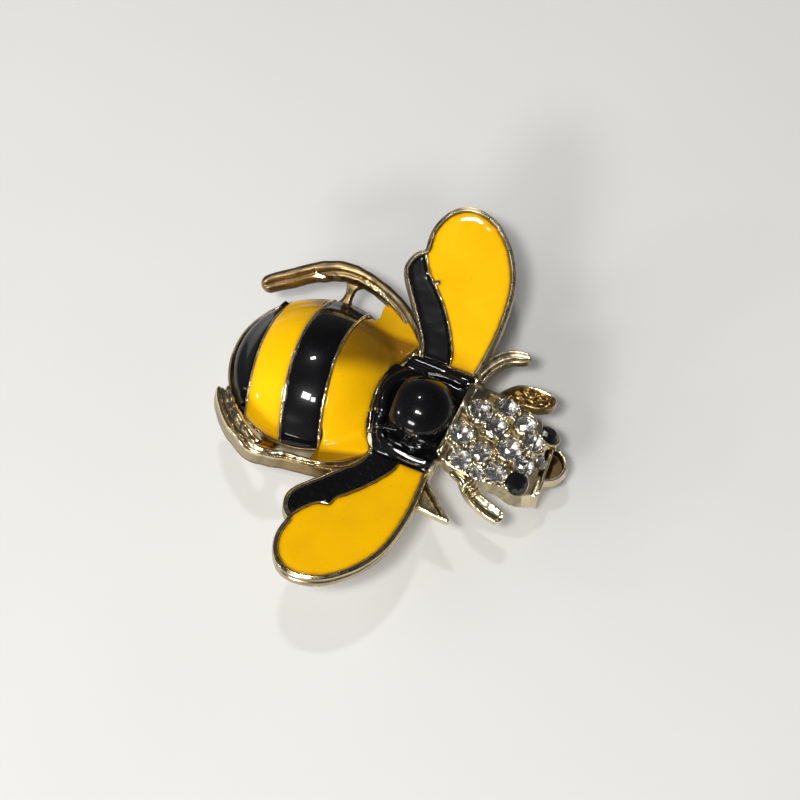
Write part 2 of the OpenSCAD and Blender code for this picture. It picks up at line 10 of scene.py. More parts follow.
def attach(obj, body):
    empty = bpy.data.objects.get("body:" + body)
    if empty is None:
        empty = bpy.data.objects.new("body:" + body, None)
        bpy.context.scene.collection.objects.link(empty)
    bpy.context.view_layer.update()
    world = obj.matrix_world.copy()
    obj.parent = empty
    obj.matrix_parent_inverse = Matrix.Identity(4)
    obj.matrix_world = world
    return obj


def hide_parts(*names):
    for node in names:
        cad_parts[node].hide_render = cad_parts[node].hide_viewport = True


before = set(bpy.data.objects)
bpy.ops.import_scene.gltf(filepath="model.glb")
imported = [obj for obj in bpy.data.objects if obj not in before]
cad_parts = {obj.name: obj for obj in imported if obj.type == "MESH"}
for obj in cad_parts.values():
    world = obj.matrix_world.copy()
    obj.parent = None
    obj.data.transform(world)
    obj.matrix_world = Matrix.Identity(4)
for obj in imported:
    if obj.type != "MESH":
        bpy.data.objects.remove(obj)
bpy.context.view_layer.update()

# Lengths in this script are in millimetres, and Blender's are in metres
MM = 0.001
MERGE = 1e-7
SIDES = ("left", "right")

# Abdomen: the rim's level, the dome's centre, radius and ball, and the ridges between the bands of enamel
RIM_Z = 5.2
DOME_X = -8.8
DOME_R = 8.5
BALL_R = 10.036
BALL_Z = -0.136
DOME_CENTRE = np.array([DOME_X, 0, BALL_Z])
RIDGE_TURN = 6.5
RIDGE_CURVE = 40.0
RIDGES = [-5.612, -1.716, 2.288]
RIDGE_GAP = 0.13

# Thorax: its front and half width, the arc of the waist, and the boss
THORAX_FRONT = 6.3
THORAX_HALF_W = 6.0
WAIST_CENTRE = (9.788, 0.6)
WAIST_R = 11.438
BOSS_CENTRE = (2.9, 0.0, 5.75)
BOSS_R = 3.8

# Head: a top that falls a little towards the snout, and the snout's steeper slope down to the front
HEAD_REAR = 6.34
HEAD_REAR_Z = 7.1
HEAD_LEN = 10.0
HEAD_HALF_W = 4.9
HEAD_PITCH = 8.0
NOSE_X = 14.85
NOSE_Z = 5.904
HEAD_FRONT = 16.3
FRONT_Z = 4.004

# Wings: chord, span, root, tilt and how far each is swept back
WING_CHORD = 11.5
WING_SPAN = 17.1
WING_ROOT = (6.3, 6.0, 6.1)
WING_TILT = 10.6
WING_SWEEP = {"left": 2.4, "right": 0.0}
ROOT_Y = 0.04

# Legs: the root of each, its reach along and outwards, its turns about X and Y, and its usual width
HIND_ROOT = (-0.33, 6.0, 5.9)
HIND_BACK = 16.6
HIND_OUT = 5.5
HIND_TURN = (15, 5.3)
HIND_W = 1.5
MID_ROOT = (6.5, 6.0, 5.9)
MID_REACH = (4.0, 4.1)
MID_TURN = (6, 0)
FORE_ROOT = (THORAX_FRONT + 2.8, HEAD_HALF_W, 6.3)
FORE_REACH = (5.9, 2.4)
FORE_TURN = (-6, 6)
PADDLE_ROOT = (THORAX_FRONT + 2.5, HEAD_HALF_W, 5.9)
PADDLE_REACH = (5.9, 3.0)
PADDLE_TURN = (-3, 3)
BAND_W = 1.55
BAND_H = 1.1

# Outlines of a wing: share of the chord to the rear, share of the span outwards
LEAD_EDGE = [(0, -0.05), (-0.035, 0.09), (-0.057, 0.275), (-0.052, 0.446), (-0.022, 0.593), (0.052, 0.728),
             (0.17, 0.85), (0.339, 0.954), (0.548, 1), (0.713, 0.972), (0.826, 0.887), (0.878, 0.771)]
SPLIT_LINE = [(0.865, 0.648), (0.765, 0.526), (0.643, 0.44), (0.522, 0.349), (0.409, 0.245), (0.322, 0.141),
              (0.27, 0.055), (0.252, -0.05)]
TRAIL_EDGE = [(0.939, 0.6), (0.978, 0.52), (0.955, 0.446), (0.878, 0.367), (0.774, 0.269), (0.661, 0.159),
              (0.574, 0.061), (0.539, -0.05)]

# Lines of the narrow legs: share of the reach along, share outwards, share of the usual width
HIND_LEG = {
    "left": [(-0.05, -0.1, 1), (0.02, 0.16, 1), (0.06, 0.34, 1), (0.12, 0.5, 1), (0.19, 0.65, 1),
             (0.295, 0.79, 1), (0.4, 0.88, 1), (0.52, 0.93, 1.1), (0.64, 0.89, 1.2), (0.73, 0.765, 1.25),
             (0.82, 0.59, 1.15), (0.9, 0.385, 1.15), (0.98, 0.2, 1.1), (1.05, 0.0, 0.9)],
    "right": [(-0.05, -0.1, 1), (0.01, 0.28, 1), (0.08, 0.52, 1), (0.17, 0.68, 0.9), (0.28, 0.78, 0.85),
              (0.4, 0.86, 0.9), (0.515, 0.965, 1.05), (0.6, 1, 1.05), (0.69, 0.87, 1), (0.785, 0.68, 1),
              (0.87, 0.42, 0.9), (0.925, 0.2, 0.8), (0.96, 0, 0.6)],
}
MID_LEG = [(-0.05, -0.25, 1), (0.05, 0.2, 1), (0.22, 0.55, 1), (0.5, 0.83, 1), (0.78, 0.94, 0.9),
           (1, 1, 0.65)]
FORE_LEG = [(0.1, -0.15, 1), (0.2, 0.25, 0.9), (0.36, 0.55, 1), (0.6, 0.78, 1.05), (0.85, 0.92, 1.05),
            (1, 1, 0.8)]

# Outlines of the two broad legs and of the web beside a hind leg: share of the reach along, share outwards
MID_BLADE = [(-0.1, -0.2), (0.12, 0.25), (1, 0.96), (0.97, 1.04), (0.08, 1), (-0.1, 0.6)]
FORE_PADDLE = [(0, -0.1), (0.12, 0.38), (0.31, 0.76), (0.61, 0.93), (0.9, 0.9), (1, 0.69), (0.97, 0.4),
               (0.78, 0.14), (0.51, 0.03), (0.4, -0.15)]
WEB = [(-0.2, -0.4), (0.95, -0.4), (0.95, 0.68), (0.55, 0.62), (0.2, 0.35), (-0.05, 0.1)]

# Stones and eyes: share of the head's length, share of its half width to the left, diameter, and how far
# each leans forwards and to the left, in degrees
STONES = [
    (0.218, 0.45, 2.3, 8, 6), (0.436, 0.785, 2.0, 8, 14), (0.673, 0.61, 2.0, 10, 12),
    (0.42, 0.275, 2.0, 8, 3), (0.14, -0.185, 2.3, 6, -2), (0.39, -0.378, 2.0, 8, -5),
    (0.633, -0.04, 2.3, 9, 0), (0.812, 0.306, 2.0, 18, 5), (0.248, -0.715, 2.0, 6, -12),
    (0.613, -0.654, 2.0, 10, -10), (0.832, -0.245, 2.0, 18, -4), (0.45, -0.838, 1.45, 8, -18),
    (0.945, 0.071, 1.45, 50, 0),
]
EYES = [(0.915, 0.69, 2.1, 26, 24), (0.846, -0.665, 2.1, 20, -22)]


def vec(points):
    return np.asarray(points, float)


def flow(points, steps=3):
    """A smooth line through the points, with the given steps from each to the next."""
    p = vec(points)
    last = len(p) - 1
    line = []
    for i in range(last):
        a, b, c, d = p[max(i - 1, 0)], p[i], p[i + 1], p[min(i + 2, last)]
        for k in range(steps):
            t = k / steps
            line.append(0.5 * (2 * b + (c - a) * t + (2 * a - 5 * b + 4 * c - d) * t**2
                               + (3 * b - a - 3 * c + d) * t**3))
    line.append(p[last])
    return np.array(line)


def leftward(v):
    """Directions in plan, turned a quarter to the left."""
    return np.stack([-v[..., 1], v[..., 0]], -1)


def unit(v):
    return v / np.maximum(np.linalg.norm(v, axis=-1, keepdims=True), 1e-12)


def line_normals(p):
    """Leftward normals of an open line in plan."""
    ahead = np.vstack([p[1:], p[-1:]])
    behind = np.vstack([p[:1], p[:-1]])
    return leftward(unit(ahead - behind))


def inset(p, d):
    """A closed outline that runs left round, moved inwards by d."""
    a = leftward(unit(p - np.roll(p, 1, 0)))
    b = leftward(unit(np.roll(p, -1, 0) - p))
    m = unit(a + b)
    return p + m * (d / np.maximum((m * a).sum(1), 0.5))[:, None]


def even(p, spacing, closed=False):
    """The same line with evenly spaced points."""
    if closed:
        p = closed_line(p)
    runs = np.r_[0, np.cumsum(np.linalg.norm(np.diff(p, axis=0), axis=1))]
    n = max(2, int(round(runs[-1] / spacing)) + 1)
    at = np.linspace(0, runs[-1], n)
    line = np.stack([np.interp(at, runs, p[:, k]) for k in range(p.shape[1])], 1)
    return line[:-1] if closed else line


def closed_line(outline):
    """The outline with its first point again at its end."""
    return np.vstack([outline, outline[:1]])


def left_round(outline):
    """The same closed outline, running left round."""
    x, y = outline[:, 0], outline[:, 1]
    area = 0.5 * np.sum(x * np.roll(y, -1) - np.roll(x, -1) * y)
    return outline if area > 0 else outline[::-1]


def at_level(outline, z):
    """A flat outline at a height, or at a height for each of its points."""
    return np.c_[outline, np.broadcast_to(z, len(outline))]


def unevenness(points, size, seed):
    """A smooth waviness from about -1 to 1, with bumps of the given size, the same at each run."""
    p = vec(points)
    rng = np.random.default_rng(seed)
    total = np.zeros(len(p))
    for octave in range(3):
        for _ in range(4):
            direction = rng.normal(size=p.shape[1])
            direction /= np.linalg.norm(direction)
            phase = (p @ direction) * 2 * math.pi / size * 1.7**octave + rng.uniform(0, 6.28)
            total += np.sin(phase) / (1 + octave)
    return total / 5.0


def turned(points, x=0.0, y=0.0, z=0.0):
    """Points turned about X, then Y, then Z, in degrees."""
    p = vec(points)
    cx, sx = math.cos(math.radians(x)), math.sin(math.radians(x))
    cy, sy = math.cos(math.radians(y)), math.sin(math.radians(y))
    cz, sz = math.cos(math.radians(z)), math.sin(math.radians(z))
    turn = vec([[cz, -sz, 0], [sz, cz, 0], [0, 0, 1]])
    turn = turn @ vec([[cy, 0, sy], [0, 1, 0], [-sy, 0, cy]])
    turn = turn @ vec([[1, 0, 0], [0, cx, -sx], [0, sx, cx]])
    return p @ turn.T


def mirrored(points, side):
    """Points drawn for the left side, mirrored where the side is the right one."""
    p = vec(points).copy()
    if side == "right":
        p[..., 1] = -p[..., 1]
    return p


def deselect():
    bpy.ops.object.select_all(action="DESELECT")


def only(piece):
    """Selects one piece alone."""
    deselect()
    piece.select_set(True)
    bpy.context.view_layer.objects.active = piece


def opened(piece):
    """Edit mode with the whole mesh of one piece selected."""
    only(piece)
    bpy.ops.object.mode_set(mode="EDIT")
    bpy.ops.mesh.select_all(action="SELECT")


def named(piece, name):
    piece.name = name
    piece.data.name = name
    return piece


def points_of(piece):
    """The points of a piece's mesh, in millimetres."""
    co = np.empty(len(piece.data.vertices) * 3, np.float32)
    piece.data.vertices.foreach_get("co", co)
    return co.reshape(-1, 3).astype(float) / MM


def normals_of(piece):
    co = np.empty(len(piece.data.vertices) * 3, np.float32)
    piece.data.vertices.foreach_get("normal", co)
    return co.reshape(-1, 3).astype(float)


def put_points(piece, points):
    """Lays the points of a piece's mesh on the given places, in millimetres."""
    piece.data.vertices.foreach_set("co", (vec(points) * MM).astype(np.float32).ravel())
    piece.data.update()


def tidy_mesh(piece, close=True):
    """Merges doubles, closes open ends and turns the faces outwards."""
    opened(piece)
    bpy.ops.mesh.remove_doubles(threshold=MERGE)
    bpy.ops.mesh.dissolve_degenerate(threshold=MERGE)
    if close:
        bpy.ops.mesh.select_all(action="SELECT")
        bpy.ops.mesh.fill_holes(sides=0)
        bpy.ops.mesh.select_all(action="SELECT")
        bpy.ops.mesh.normals_make_consistent(inside=False)
    bpy.ops.object.mode_set(mode="OBJECT")
    return piece


def skinned(name, sections, close=True):
    """A skin over rows of points: a grid is added and its rows are laid on the sections, in order."""
    sections = vec(sections)
    rows, cols = sections.shape[:2]
    deselect()
    bpy.ops.mesh.primitive_grid_add(x_subdivisions=cols - 1, y_subdivisions=rows - 1, size=MM)
    piece = named(bpy.context.object, name)
    put_points(piece, sections.reshape(-1, 3))
    return tidy_mesh(piece, close)


def ringed(name, rings):
    """A closed form from closed rings, one inside or above the next, with both ends filled."""
    return skinned(name, [closed_line(r) for r in rings])


def applied(piece, kind, **values):
    """Adds a modifier, sets its values and applies it."""
    only(piece)
    modifier = piece.modifiers.new(kind.title(), kind)
    for key, value in values.items():
        setattr(modifier, key, value)
    bpy.ops.object.modifier_apply(modifier=modifier.name)
    return piece


def joined(pieces, name):
    """Joins the pieces into the first of them."""
    deselect()
    for p in pieces:
        p.select_set(True)
    bpy.context.view_layer.objects.active = pieces[0]
    if len(pieces) > 1:
        bpy.ops.object.join()
    return named(bpy.context.object, name)


def fused(pieces, name, voxel, rounds):
    """Joins the pieces and melts them into one skin with soft corners, as a casting has."""
    piece = joined(pieces, name)
    applied(piece, "REMESH", mode="VOXEL", voxel_size=voxel * MM)
    return applied(piece, "SMOOTH", factor=0.5, iterations=rounds)


def softened(piece, weights, rounds):
    """Smooths a piece only where its weights say, as enamel settles into a corner."""
    group = piece.vertex_groups.new(name="soft")
    for index in np.nonzero(weights > 0.01)[0]:
        group.add([int(index)], float(weights[index]), "REPLACE")
    applied(piece, "SMOOTH", factor=0.5, iterations=rounds, vertex_group="soft")
    piece.vertex_groups.clear()
    return piece


def smooth(piece, angle=40):
    """Shades a piece smooth, apart from its edges that are sharper than the angle."""
    only(piece)
    bpy.ops.object.shade_smooth_by_angle(angle=math.radians(angle))
    return piece


def copy_of(node, name):
    """A merged copy of a CAD node, to be worked on."""
    piece = bpy.data.objects.new(name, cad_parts[node].data.copy())
    bpy.context.scene.collection.objects.link(piece)
    return tidy_mesh(named(piece, name), close=False)


def cut_away(piece, point, normal):
    """Cuts off what lies on the normal's side of a plane, and closes the cut."""
    opened(piece)
    bpy.ops.mesh.bisect(plane_co=vec(point) * MM, plane_no=normal, use_fill=True, clear_outer=True,
                        threshold=1e-6)
    bpy.ops.object.mode_set(mode="OBJECT")
    return piece


def marked(piece, name, values):
    """Keeps a value from 0 to 1 at each point of the mesh, for the piece's material."""
    attribute = piece.data.attributes.new(name, "FLOAT", "POINT")
    attribute.data.foreach_set("value", np.clip(values, 0, 1).astype(np.float32))


def shown(piece, material, slot, *replaced):
    """Gives the piece its finish, fixes it to the brooch and lets it stand for its CAD nodes."""
    piece.data.materials.clear()
    piece.data.materials.append(material)
    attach(piece, "root")
    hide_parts(*replaced)
    return piece


def edge_distance(points, line):
    """Distance in plan from each point to a line."""
    p = vec(points)[:, :2]
    best = np.full(len(p), 1e9)
    for a, b in zip(line[:-1], line[1:]):
        ab = b - a
        t = np.clip(((p - a) @ ab) / max(ab @ ab, 1e-12), 0, 1)
        best = np.minimum(best, np.linalg.norm(p - a - t[:, None] * ab, axis=1))
    return best


def wall_share(piece, slope):
    """From 0 on faces that look up to 1 on walls, counted from the given upward share of the normal."""
    return np.clip((slope - normals_of(piece)[:, 2]) / 0.3, 0, 1)


def streaked_wall_shade(piece, strength, seed):
    """Painted shade on the piece's walls, in long uneven streaks: how dark and dull each point of them is."""
    streak = 0.6 + 0.5 * unevenness(points_of(piece) * (0.5, 0.5, 2.4), 2.2, seed)
    return np.clip(wall_share(piece, 0.45) * strength * streak, 0, 0.9)


# Node groups: what several finishes share
def new_group(name, inputs, outputs):
    """A node group of plain values: its inputs with their usual values, and the names of its outputs."""
    group = bpy.data.node_groups.new(name, "ShaderNodeTree")
    for label, value in inputs.items():
        socket = group.interface.new_socket(label, in_out="INPUT", socket_type="NodeSocketFloat")
        socket.default_value = value
    for label in outputs:
        group.interface.new_socket(label, in_out="OUTPUT", socket_type="NodeSocketFloat")
    return group, group.nodes.new("NodeGroupInput"), group.nodes.new("NodeGroupOutput")


def node(tree, kind, **values):
    """A new node with the given settings."""
    made = tree.nodes.new(kind)
    for key, value in values.items():
        setattr(made, key, value)
    return made


def fed(tree, made, inputs):
    """Gives a node its inputs: links where they are sockets of other nodes, plain values otherwise."""
    for label, value in inputs.items():
        if isinstance(value, bpy.types.NodeSocket):
            tree.links.new(value, made.inputs[label])
        else:
            made.inputs[label].default_value = value
    return made


def maths(tree, operation, a, b):
    """A Math node: a and b are sockets or numbers."""
    return fed(tree, node(tree, "ShaderNodeMath", operation=operation), {0: a, 1: b}).outputs[0]


def ranged(tree, value, low, high, out_low=0.0, out_high=1.0):
    """A Map Range node."""
    span = {"Value": value, "From Min": low, "From Max": high, "To Min": out_low, "To Max": out_high}
    return fed(tree, node(tree, "ShaderNodeMapRange"), span).outputs["Result"]


def noise(tree, place, scale, detail):
    """A Noise Texture node. Its scale is a number or a socket."""
    made = node(tree, "ShaderNodeTexNoise")
    return fed(tree, made, {"Vector": place, "Scale": scale, "Detail": detail}).outputs["Fac"]


def cast_metal_group():
    """Soft waves of a cast and polished surface, with small pits and tarnish in its hollows."""
    sizes = {"Wave size": 900.0, "Pit size": 3500.0, "Tarnish": 0.5}
    group, given, put = new_group("cast_metal", sizes, ("Height", "Tarnish", "Haze"))
    place = node(group, "ShaderNodeTexCoord").outputs["Object"]
    waves = noise(group, place, given.outputs["Wave size"], 2.0)
    pits = noise(group, place, given.outputs["Pit size"], 2.0)
    pit_mask = ranged(group, pits, 0.68, 0.8)
    height = maths(group, "SUBTRACT", waves, maths(group, "MULTIPLY", pit_mask, 0.2))
    pointed = node(group, "ShaderNodeNewGeometry").outputs["Pointiness"]
    hollow = ranged(group, pointed, 0.5, 0.42)
    patches = ranged(group, noise(group, place, 350.0, 4.0), 0.45, 0.7)
    dull = maths(group, "MAXIMUM", hollow, maths(group, "MULTIPLY", patches, 0.45))
    tarnish = maths(group, "MULTIPLY", dull, given.outputs["Tarnish"])
    fed(group, put, {"Height": height, "Tarnish": tarnish, "Haze": noise(group, place, 1200.0, 2.0)})
    return group


def poured_group():
    """Enamel: slow swells of its gloss, tiny specks, and the piece's dark mark for thin enamel and painted
    shade.
    """
    sizes = {"Swell size": 300.0, "Speck size": 4000.0}
    group, given, put = new_group("poured_enamel", sizes, ("Height", "Cloud", "Specks", "Thin"))
    place = node(group, "ShaderNodeTexCoord").outputs["Object"]
    swell = noise(group, place, given.outputs["Swell size"], 1.5)
    cloud = noise(group, place, 220.0, 3.0)
    specks = ranged(group, noise(group, place, given.outputs["Speck size"], 1.0), 0.7, 0.76)
    edge = node(group, "ShaderNodeAttribute", attribute_name="thin").outputs["Fac"]
    fed(group, put, {"Height": swell, "Cloud": cloud, "Specks": specks, "Thin": edge})
    return group


CAST_METAL = cast_metal_group()
POURED = poured_group()


def new_material(name):
    """An empty material with its tree and its shader."""
    material = bpy.data.materials.new(name)
    material.use_nodes = True
    shader = material.node_tree.nodes["Principled BSDF"]
    return material, material.node_tree, shader


def mixed(tree, share, low, high):
    """A colour from low to high by share. low and high are colours or sockets."""
    made = node(tree, "ShaderNodeMix", data_type="RGBA")
    tree.links.new(share, made.inputs["Factor"])
    for label, value in (("A", low), ("B", high)):
        socket = [s for s in made.inputs if s.name == label and s.type == "RGBA"][0]
        if isinstance(value, tuple):
            socket.default_value = (*value, 1.0)
        else:
            tree.links.new(value, socket)
    return [s for s in made.outputs if s.type == "RGBA"][0]


def bumped(tree, shader, height, strength, distance):
    """Gives a shader small relief, with its depth in millimetres."""
    bump = node(tree, "ShaderNodeBump")
    fed(tree, bump, {"Strength": strength, "Distance": distance * MM, "Height": height})
    fed(tree, shader, {"Normal": bump.outputs["Normal"]})


# The brown gold of painted shade and warm reflections, in hollows, on inner faces and beside the struts
WARM_GOLD = (0.62, 0.37, 0.08)


def metal(name, bright, dull, low_rough, high_rough, tarnish, wave):
    """A cast and polished metal, duller or warmer where the piece is marked so."""
    material, tree, shader = new_material(name)
    cast = node(tree, "ShaderNodeGroup", node_tree=CAST_METAL)
    fed(tree, cast, {"Wave size": wave, "Tarnish": tarnish})
    # The dull mark darkens the metal for tarnish and for painted shade; the warm mark paints warm reflections
    # and shade
    deep = node(tree, "ShaderNodeAttribute", attribute_name="dull").outputs["Fac"]
    dark = maths(tree, "MAXIMUM", cast.outputs["Tarnish"], deep)
    warm_reflection_and_shade = node(tree, "ShaderNodeAttribute", attribute_name="warm_reflection_and_shade").outputs["Fac"]
    colour = mixed(tree, dark, mixed(tree, warm_reflection_and_shade, bright, WARM_GOLD), dull)
    haze = ranged(tree, cast.outputs["Haze"], 0.3, 0.7, low_rough, high_rough)
    rough = maths(tree, "ADD", haze, maths(tree, "MULTIPLY", dark, 0.2))
    fed(tree, shader, {"Metallic": 1.0, "Base Color": colour, "Roughness": rough})
    bumped(tree, shader, cast.outputs["Height"], 0.35, 0.02)
    return material


def enamel(name, body, cloud, thin, speck, rough, gloss):
    """Poured enamel under a thin gloss, darker where it is marked thin: thinner enamel and painted shade."""
    material, tree, shader = new_material(name)
    poured = node(tree, "ShaderNodeGroup", node_tree=POURED)
    colour = mixed(tree, ranged(tree, poured.outputs["Cloud"], 0.35, 0.65), body, cloud)
    colour = mixed(tree, poured.outputs["Thin"], colour, thin)
    colour = mixed(tree, maths(tree, "MULTIPLY", poured.outputs["Specks"], 0.5), colour, speck)
    roughness = ranged(tree, poured.outputs["Cloud"], 0.3, 0.7, rough, rough * 1.5)
    fed(tree, shader, {"Base Color": colour, "Roughness": roughness, "Specular IOR Level": 0.06})
    fed(tree, shader, {"Coat Weight": gloss, "Coat Roughness": 0.03, "Coat IOR": 1.36})
    bumped(tree, shader, poured.outputs["Height"], 0.12, 0.03)
    return material


def glass(name, tint, rough):
    """Clear glass with a faint film."""
    material, tree, shader = new_material(name)
    place = node(tree, "ShaderNodeTexCoord").outputs["Object"]
    film = noise(tree, place, 1800.0, 2.0)
    filmed = mixed(tree, film, tint, tuple(c * 0.94 for c in tint))
    haze = ranged(tree, film, 0.4, 0.75, rough, rough + 0.05)
    fed(tree, shader, {"Transmission Weight": 1.0, "IOR": 1.62, "Base Color": filmed, "Roughness": haze})
    return material


def black_glass(name):
    """Black glass with a faint cloud."""
    material, tree, shader = new_material(name)
    place = node(tree, "ShaderNodeTexCoord").outputs["Object"]
    cloud = noise(tree, place, 1500.0, 2.0)
    colour = mixed(tree, cloud, (0.003, 0.003, 0.004), (0.008, 0.008, 0.010))
    rough = ranged(tree, cloud, 0.3, 0.7, 0.05, 0.12)
    fed(tree, shader, {"IOR": 1.6, "Base Color": colour, "Roughness": rough})
    return material


# Its dull colour serves for tarnish, and also paints shade where pieces are marked dull
GILT = metal("gilt_metal", bright=(0.79, 0.68, 0.455), dull=(0.115, 0.074, 0.034),
             low_rough=0.13, high_rough=0.26, tarnish=0.7, wave=700.0)
BRASS = metal("pin_brass", bright=(0.72, 0.54, 0.28), dull=(0.32, 0.22, 0.11),
              low_rough=0.26, high_rough=0.4, tarnish=0.6, wave=2000.0)
FOIL = metal("stone_foil", bright=(0.97, 0.96, 0.95), dull=(0.5, 0.48, 0.46),
             low_rough=0.08, high_rough=0.2, tarnish=0.5, wave=3000.0)
YELLOW = enamel("yellow_enamel", body=(0.87, 0.475, 0.0), cloud=(0.82, 0.43, 0.0),
                thin=(0.16, 0.07, 0.002), speck=(0.5, 0.28, 0.01), rough=0.4, gloss=0.8)
BLACK = enamel("black_enamel", body=(0.0035, 0.0035, 0.004), cloud=(0.005, 0.005, 0.006),
               thin=(0.004, 0.0035, 0.003), speck=(0.02, 0.02, 0.024), rough=0.2, gloss=1.0)
CLEAR = glass("clear_stone", (0.97, 0.97, 0.97), 0.0)
JET = black_glass("black_stone")


# Abdomen: depth of a band's sunk edge, how far in it and the brown edge reach, depth of the enamel,
# the gap beside the thin rear ridge, the tail's radius, and the rows and columns of a band's mesh
EDGE_DIP = 0.09
EDGE_RUN = 0.14
# The brown edge is thin enamel with painted shade from the rim
THIN_EDGE_SHADE_RUN = 0.12
BAND_DEPTH = 0.42
THIN_GAP = 0.06
TAIL_R = 8.1
BAND_ROWS = 36
BAND_COLS = 180


def rim_rise(r):
    """How far the enamel stands above the ball towards the rim, where it is poured full."""
    t = np.clip((r - 6.8) / 1.7, 0, 1)
    return 0.26 * t * t * (3 - 2 * t)


def on_dome(x, y, sink=0.0):
    """Points on the dome's ball from plan places in the ridges' turned frame about the dome's centre."""
    x, y = np.broadcast_arrays(vec(x), vec(y))
    r2 = x * x + y * y
    z = np.sqrt(np.maximum((BALL_R + rim_rise(np.sqrt(r2)) - sink) ** 2 - r2, 0.0)) + BALL_Z
    placed = turned(np.stack([x.ravel(), y.ravel(), z.ravel()], 1), z=RIDGE_TURN) + (DOME_X, 0, 0)
    return placed.reshape(*x.shape, 3)


def in_dome_frame(points):
    """The points in the ridges' turned frame about the dome's centre."""
    return turned(points - (DOME_X, 0, 0), z=-RIDGE_TURN)


def ridge_x(i, y):
    """A ridge's place in the turned frame: an arc across the dome."""
    return RIDGES[i] + RIDGE_CURVE - np.sqrt(RIDGE_CURVE**2 - y * y)


def beside_ridge(i, shift):
    """The edge of a band along a ridge, shifted forwards or, below 0, back."""
    return lambda y: ridge_x(i, vec(y)) + shift


def rim_x(y, r):
    """The rear half of a circle about the dome's centre."""
    return -np.sqrt(np.maximum(r * r - y * y, 0.0))


def waist_x(y, grow):
    """The thorax's rear edge, in the ridges' turned frame about the dome's centre."""
    centre = in_dome_frame(vec([(*WAIST_CENTRE, 0)]))[0]
    return centre[0] - np.sqrt(np.maximum((WAIST_R + grow) ** 2 - (y - centre[1]) ** 2, 0.01))


def span_limits(curve, r):
    """Where a line across the dome meets the rim's circle, on both sides."""
    limits = []
    for sign in (-1, 1):
        inside, outside = 0.0, r
        for _ in range(40):
            middle = (inside + outside) / 2
            if curve(sign * middle) ** 2 + middle**2 < r * r:
                inside = middle
            else:
                outside = middle
        limits.append(sign * inside)
    return limits


def dome_band(name, rear, front, seed, r=8.6, ends=None):
    """One poured band on the dome, level with the ball and dipping a little towards its edges."""
    sections = []
    for u in np.linspace(0, 1, BAND_ROWS):
        def middle(y, u=u):
            return (1 - u) * rear(y) + u * front(y)

        low, high = span_limits(ends or middle, r)
        v = 0.5 - 0.5 * np.cos(np.linspace(0, math.pi, BAND_COLS))
        y = low + (high - low) * v
        x = middle(y)
        width = np.maximum(front(y) - rear(y), 0.0)
        side = np.minimum(np.minimum(u, 1 - u) * width, r - np.hypot(x, y))
        edge_y = np.stack([y, np.full_like(y, u * 9)], 1)
        wander = unevenness(edge_y, 1.3, seed) * 0.07 * (abs(u - 0.5) * 2) ** 6 * (1 if u > 0.5 else -1)
        sections.append(on_dome(x + wander, y, EDGE_DIP * np.exp(-np.maximum(side, 0) / EDGE_RUN)))
    piece = skinned(name, sections, close=False)
    applied(piece, "SOLIDIFY", thickness=BAND_DEPTH * MM, offset=1.0)
    tidy_mesh(piece, close=True)
    p = points_of(piece)
    along, across, _ = in_dome_frame(p).T
    gap = np.minimum(np.minimum(along - rear(across), front(across) - along), r - np.hypot(along, across))
    # Brown edges, for thin enamel and painted shade from the rim, and painted shade on the far side of the
    # bands
    corner = 0.85 * np.clip((p[:, 1] - 5.2) / 1.5, 0, 1) * np.clip((p[:, 0] + 13.2) / 1.6, 0, 1)
    marked(piece, "thin", np.maximum(0.9 * np.exp(-np.maximum(gap, 0) / THIN_EDGE_SHADE_RUN), corner))
    return smooth(piece)


tail_front = beside_ridge(0, -THIN_GAP)
tail = dome_band("tail_enamel", lambda y: rim_x(vec(y), TAIL_R), tail_front, 11, TAIL_R, tail_front)
shown(tail, BLACK, "black_enamel", "abdomen_tail_black")
rear_yellow = dome_band("rear_band_enamel", beside_ridge(0, THIN_GAP), beside_ridge(1, -RIDGE_GAP), 12)
shown(rear_yellow, YELLOW, "yellow_enamel", "abdomen_rear_yellow")
black_band = dome_band("black_band_enamel", beside_ridge(1, RIDGE_GAP), beside_ridge(2, -RIDGE_GAP), 13)
shown(black_band, BLACK, "black_enamel", "abdomen_band_black")


def web_outline():
    """The plan of the web between the thorax and a hind leg."""
    p = vec([(HIND_ROOT[0] - a * HIND_OUT, THORAX_HALF_W + b * HIND_OUT) for a, b in WEB])
    return left_round(even(p, 0.5, closed=True))


def web_enamel(side):
    """The yellow that runs down over the rim onto the web beside a hind leg."""
    clear_of_waist = WAIST_R + 0.34
    outline = web_outline()
    keep = outline[np.hypot(outline[:, 0] - DOME_X, outline[:, 1]) > 7.2]
    centre = vec([(WAIST_CENTRE[0], WAIST_CENTRE[1] if side == "left" else -WAIST_CENTRE[1])])
    away = keep - centre
    reach = np.linalg.norm(away, axis=1)
    if side == "right":
        keep[:, 0] = np.maximum(keep[:, 0], -4.9)
    on_waist = centre + away / reach[:, None] * clear_of_waist
    keep = np.where((reach < clear_of_waist)[:, None], on_waist, keep)
    lift = 0.28 * np.clip(np.hypot(keep[:, 0] - DOME_X, keep[:, 1]) - 8.7, 0, 2.2)
    rings = [at_level(keep, RIM_Z + 0.04), at_level(keep, RIM_Z + 0.55 + lift)]
    return ringed("web_enamel", [mirrored(r, side) for r in rings])


def shaded_far_half(x, y):
    """The brown shade on the band's left half, lighter again out on the web."""
    rise = np.clip((y - 0.7 * (x + 5.6) + 1.6) / 3.2, 0, 1)
    fall = 1 - 0.55 * np.clip((y - 6.5) / 0.7, 0, 1)
    depth = 0.84 + 0.12 * np.clip((y - 4.6) / 0.8, 0, 1)
    return depth * rise * rise * (3 - 2 * rise) * fall


def shaded_near_web(x, y):
    """The brown shade along the right web's outer edge."""
    return 0.75 * np.clip((-6.9 - y + 0.3 * (x + 1.45)) / 0.6, 0, 1) * (x > -5.2)


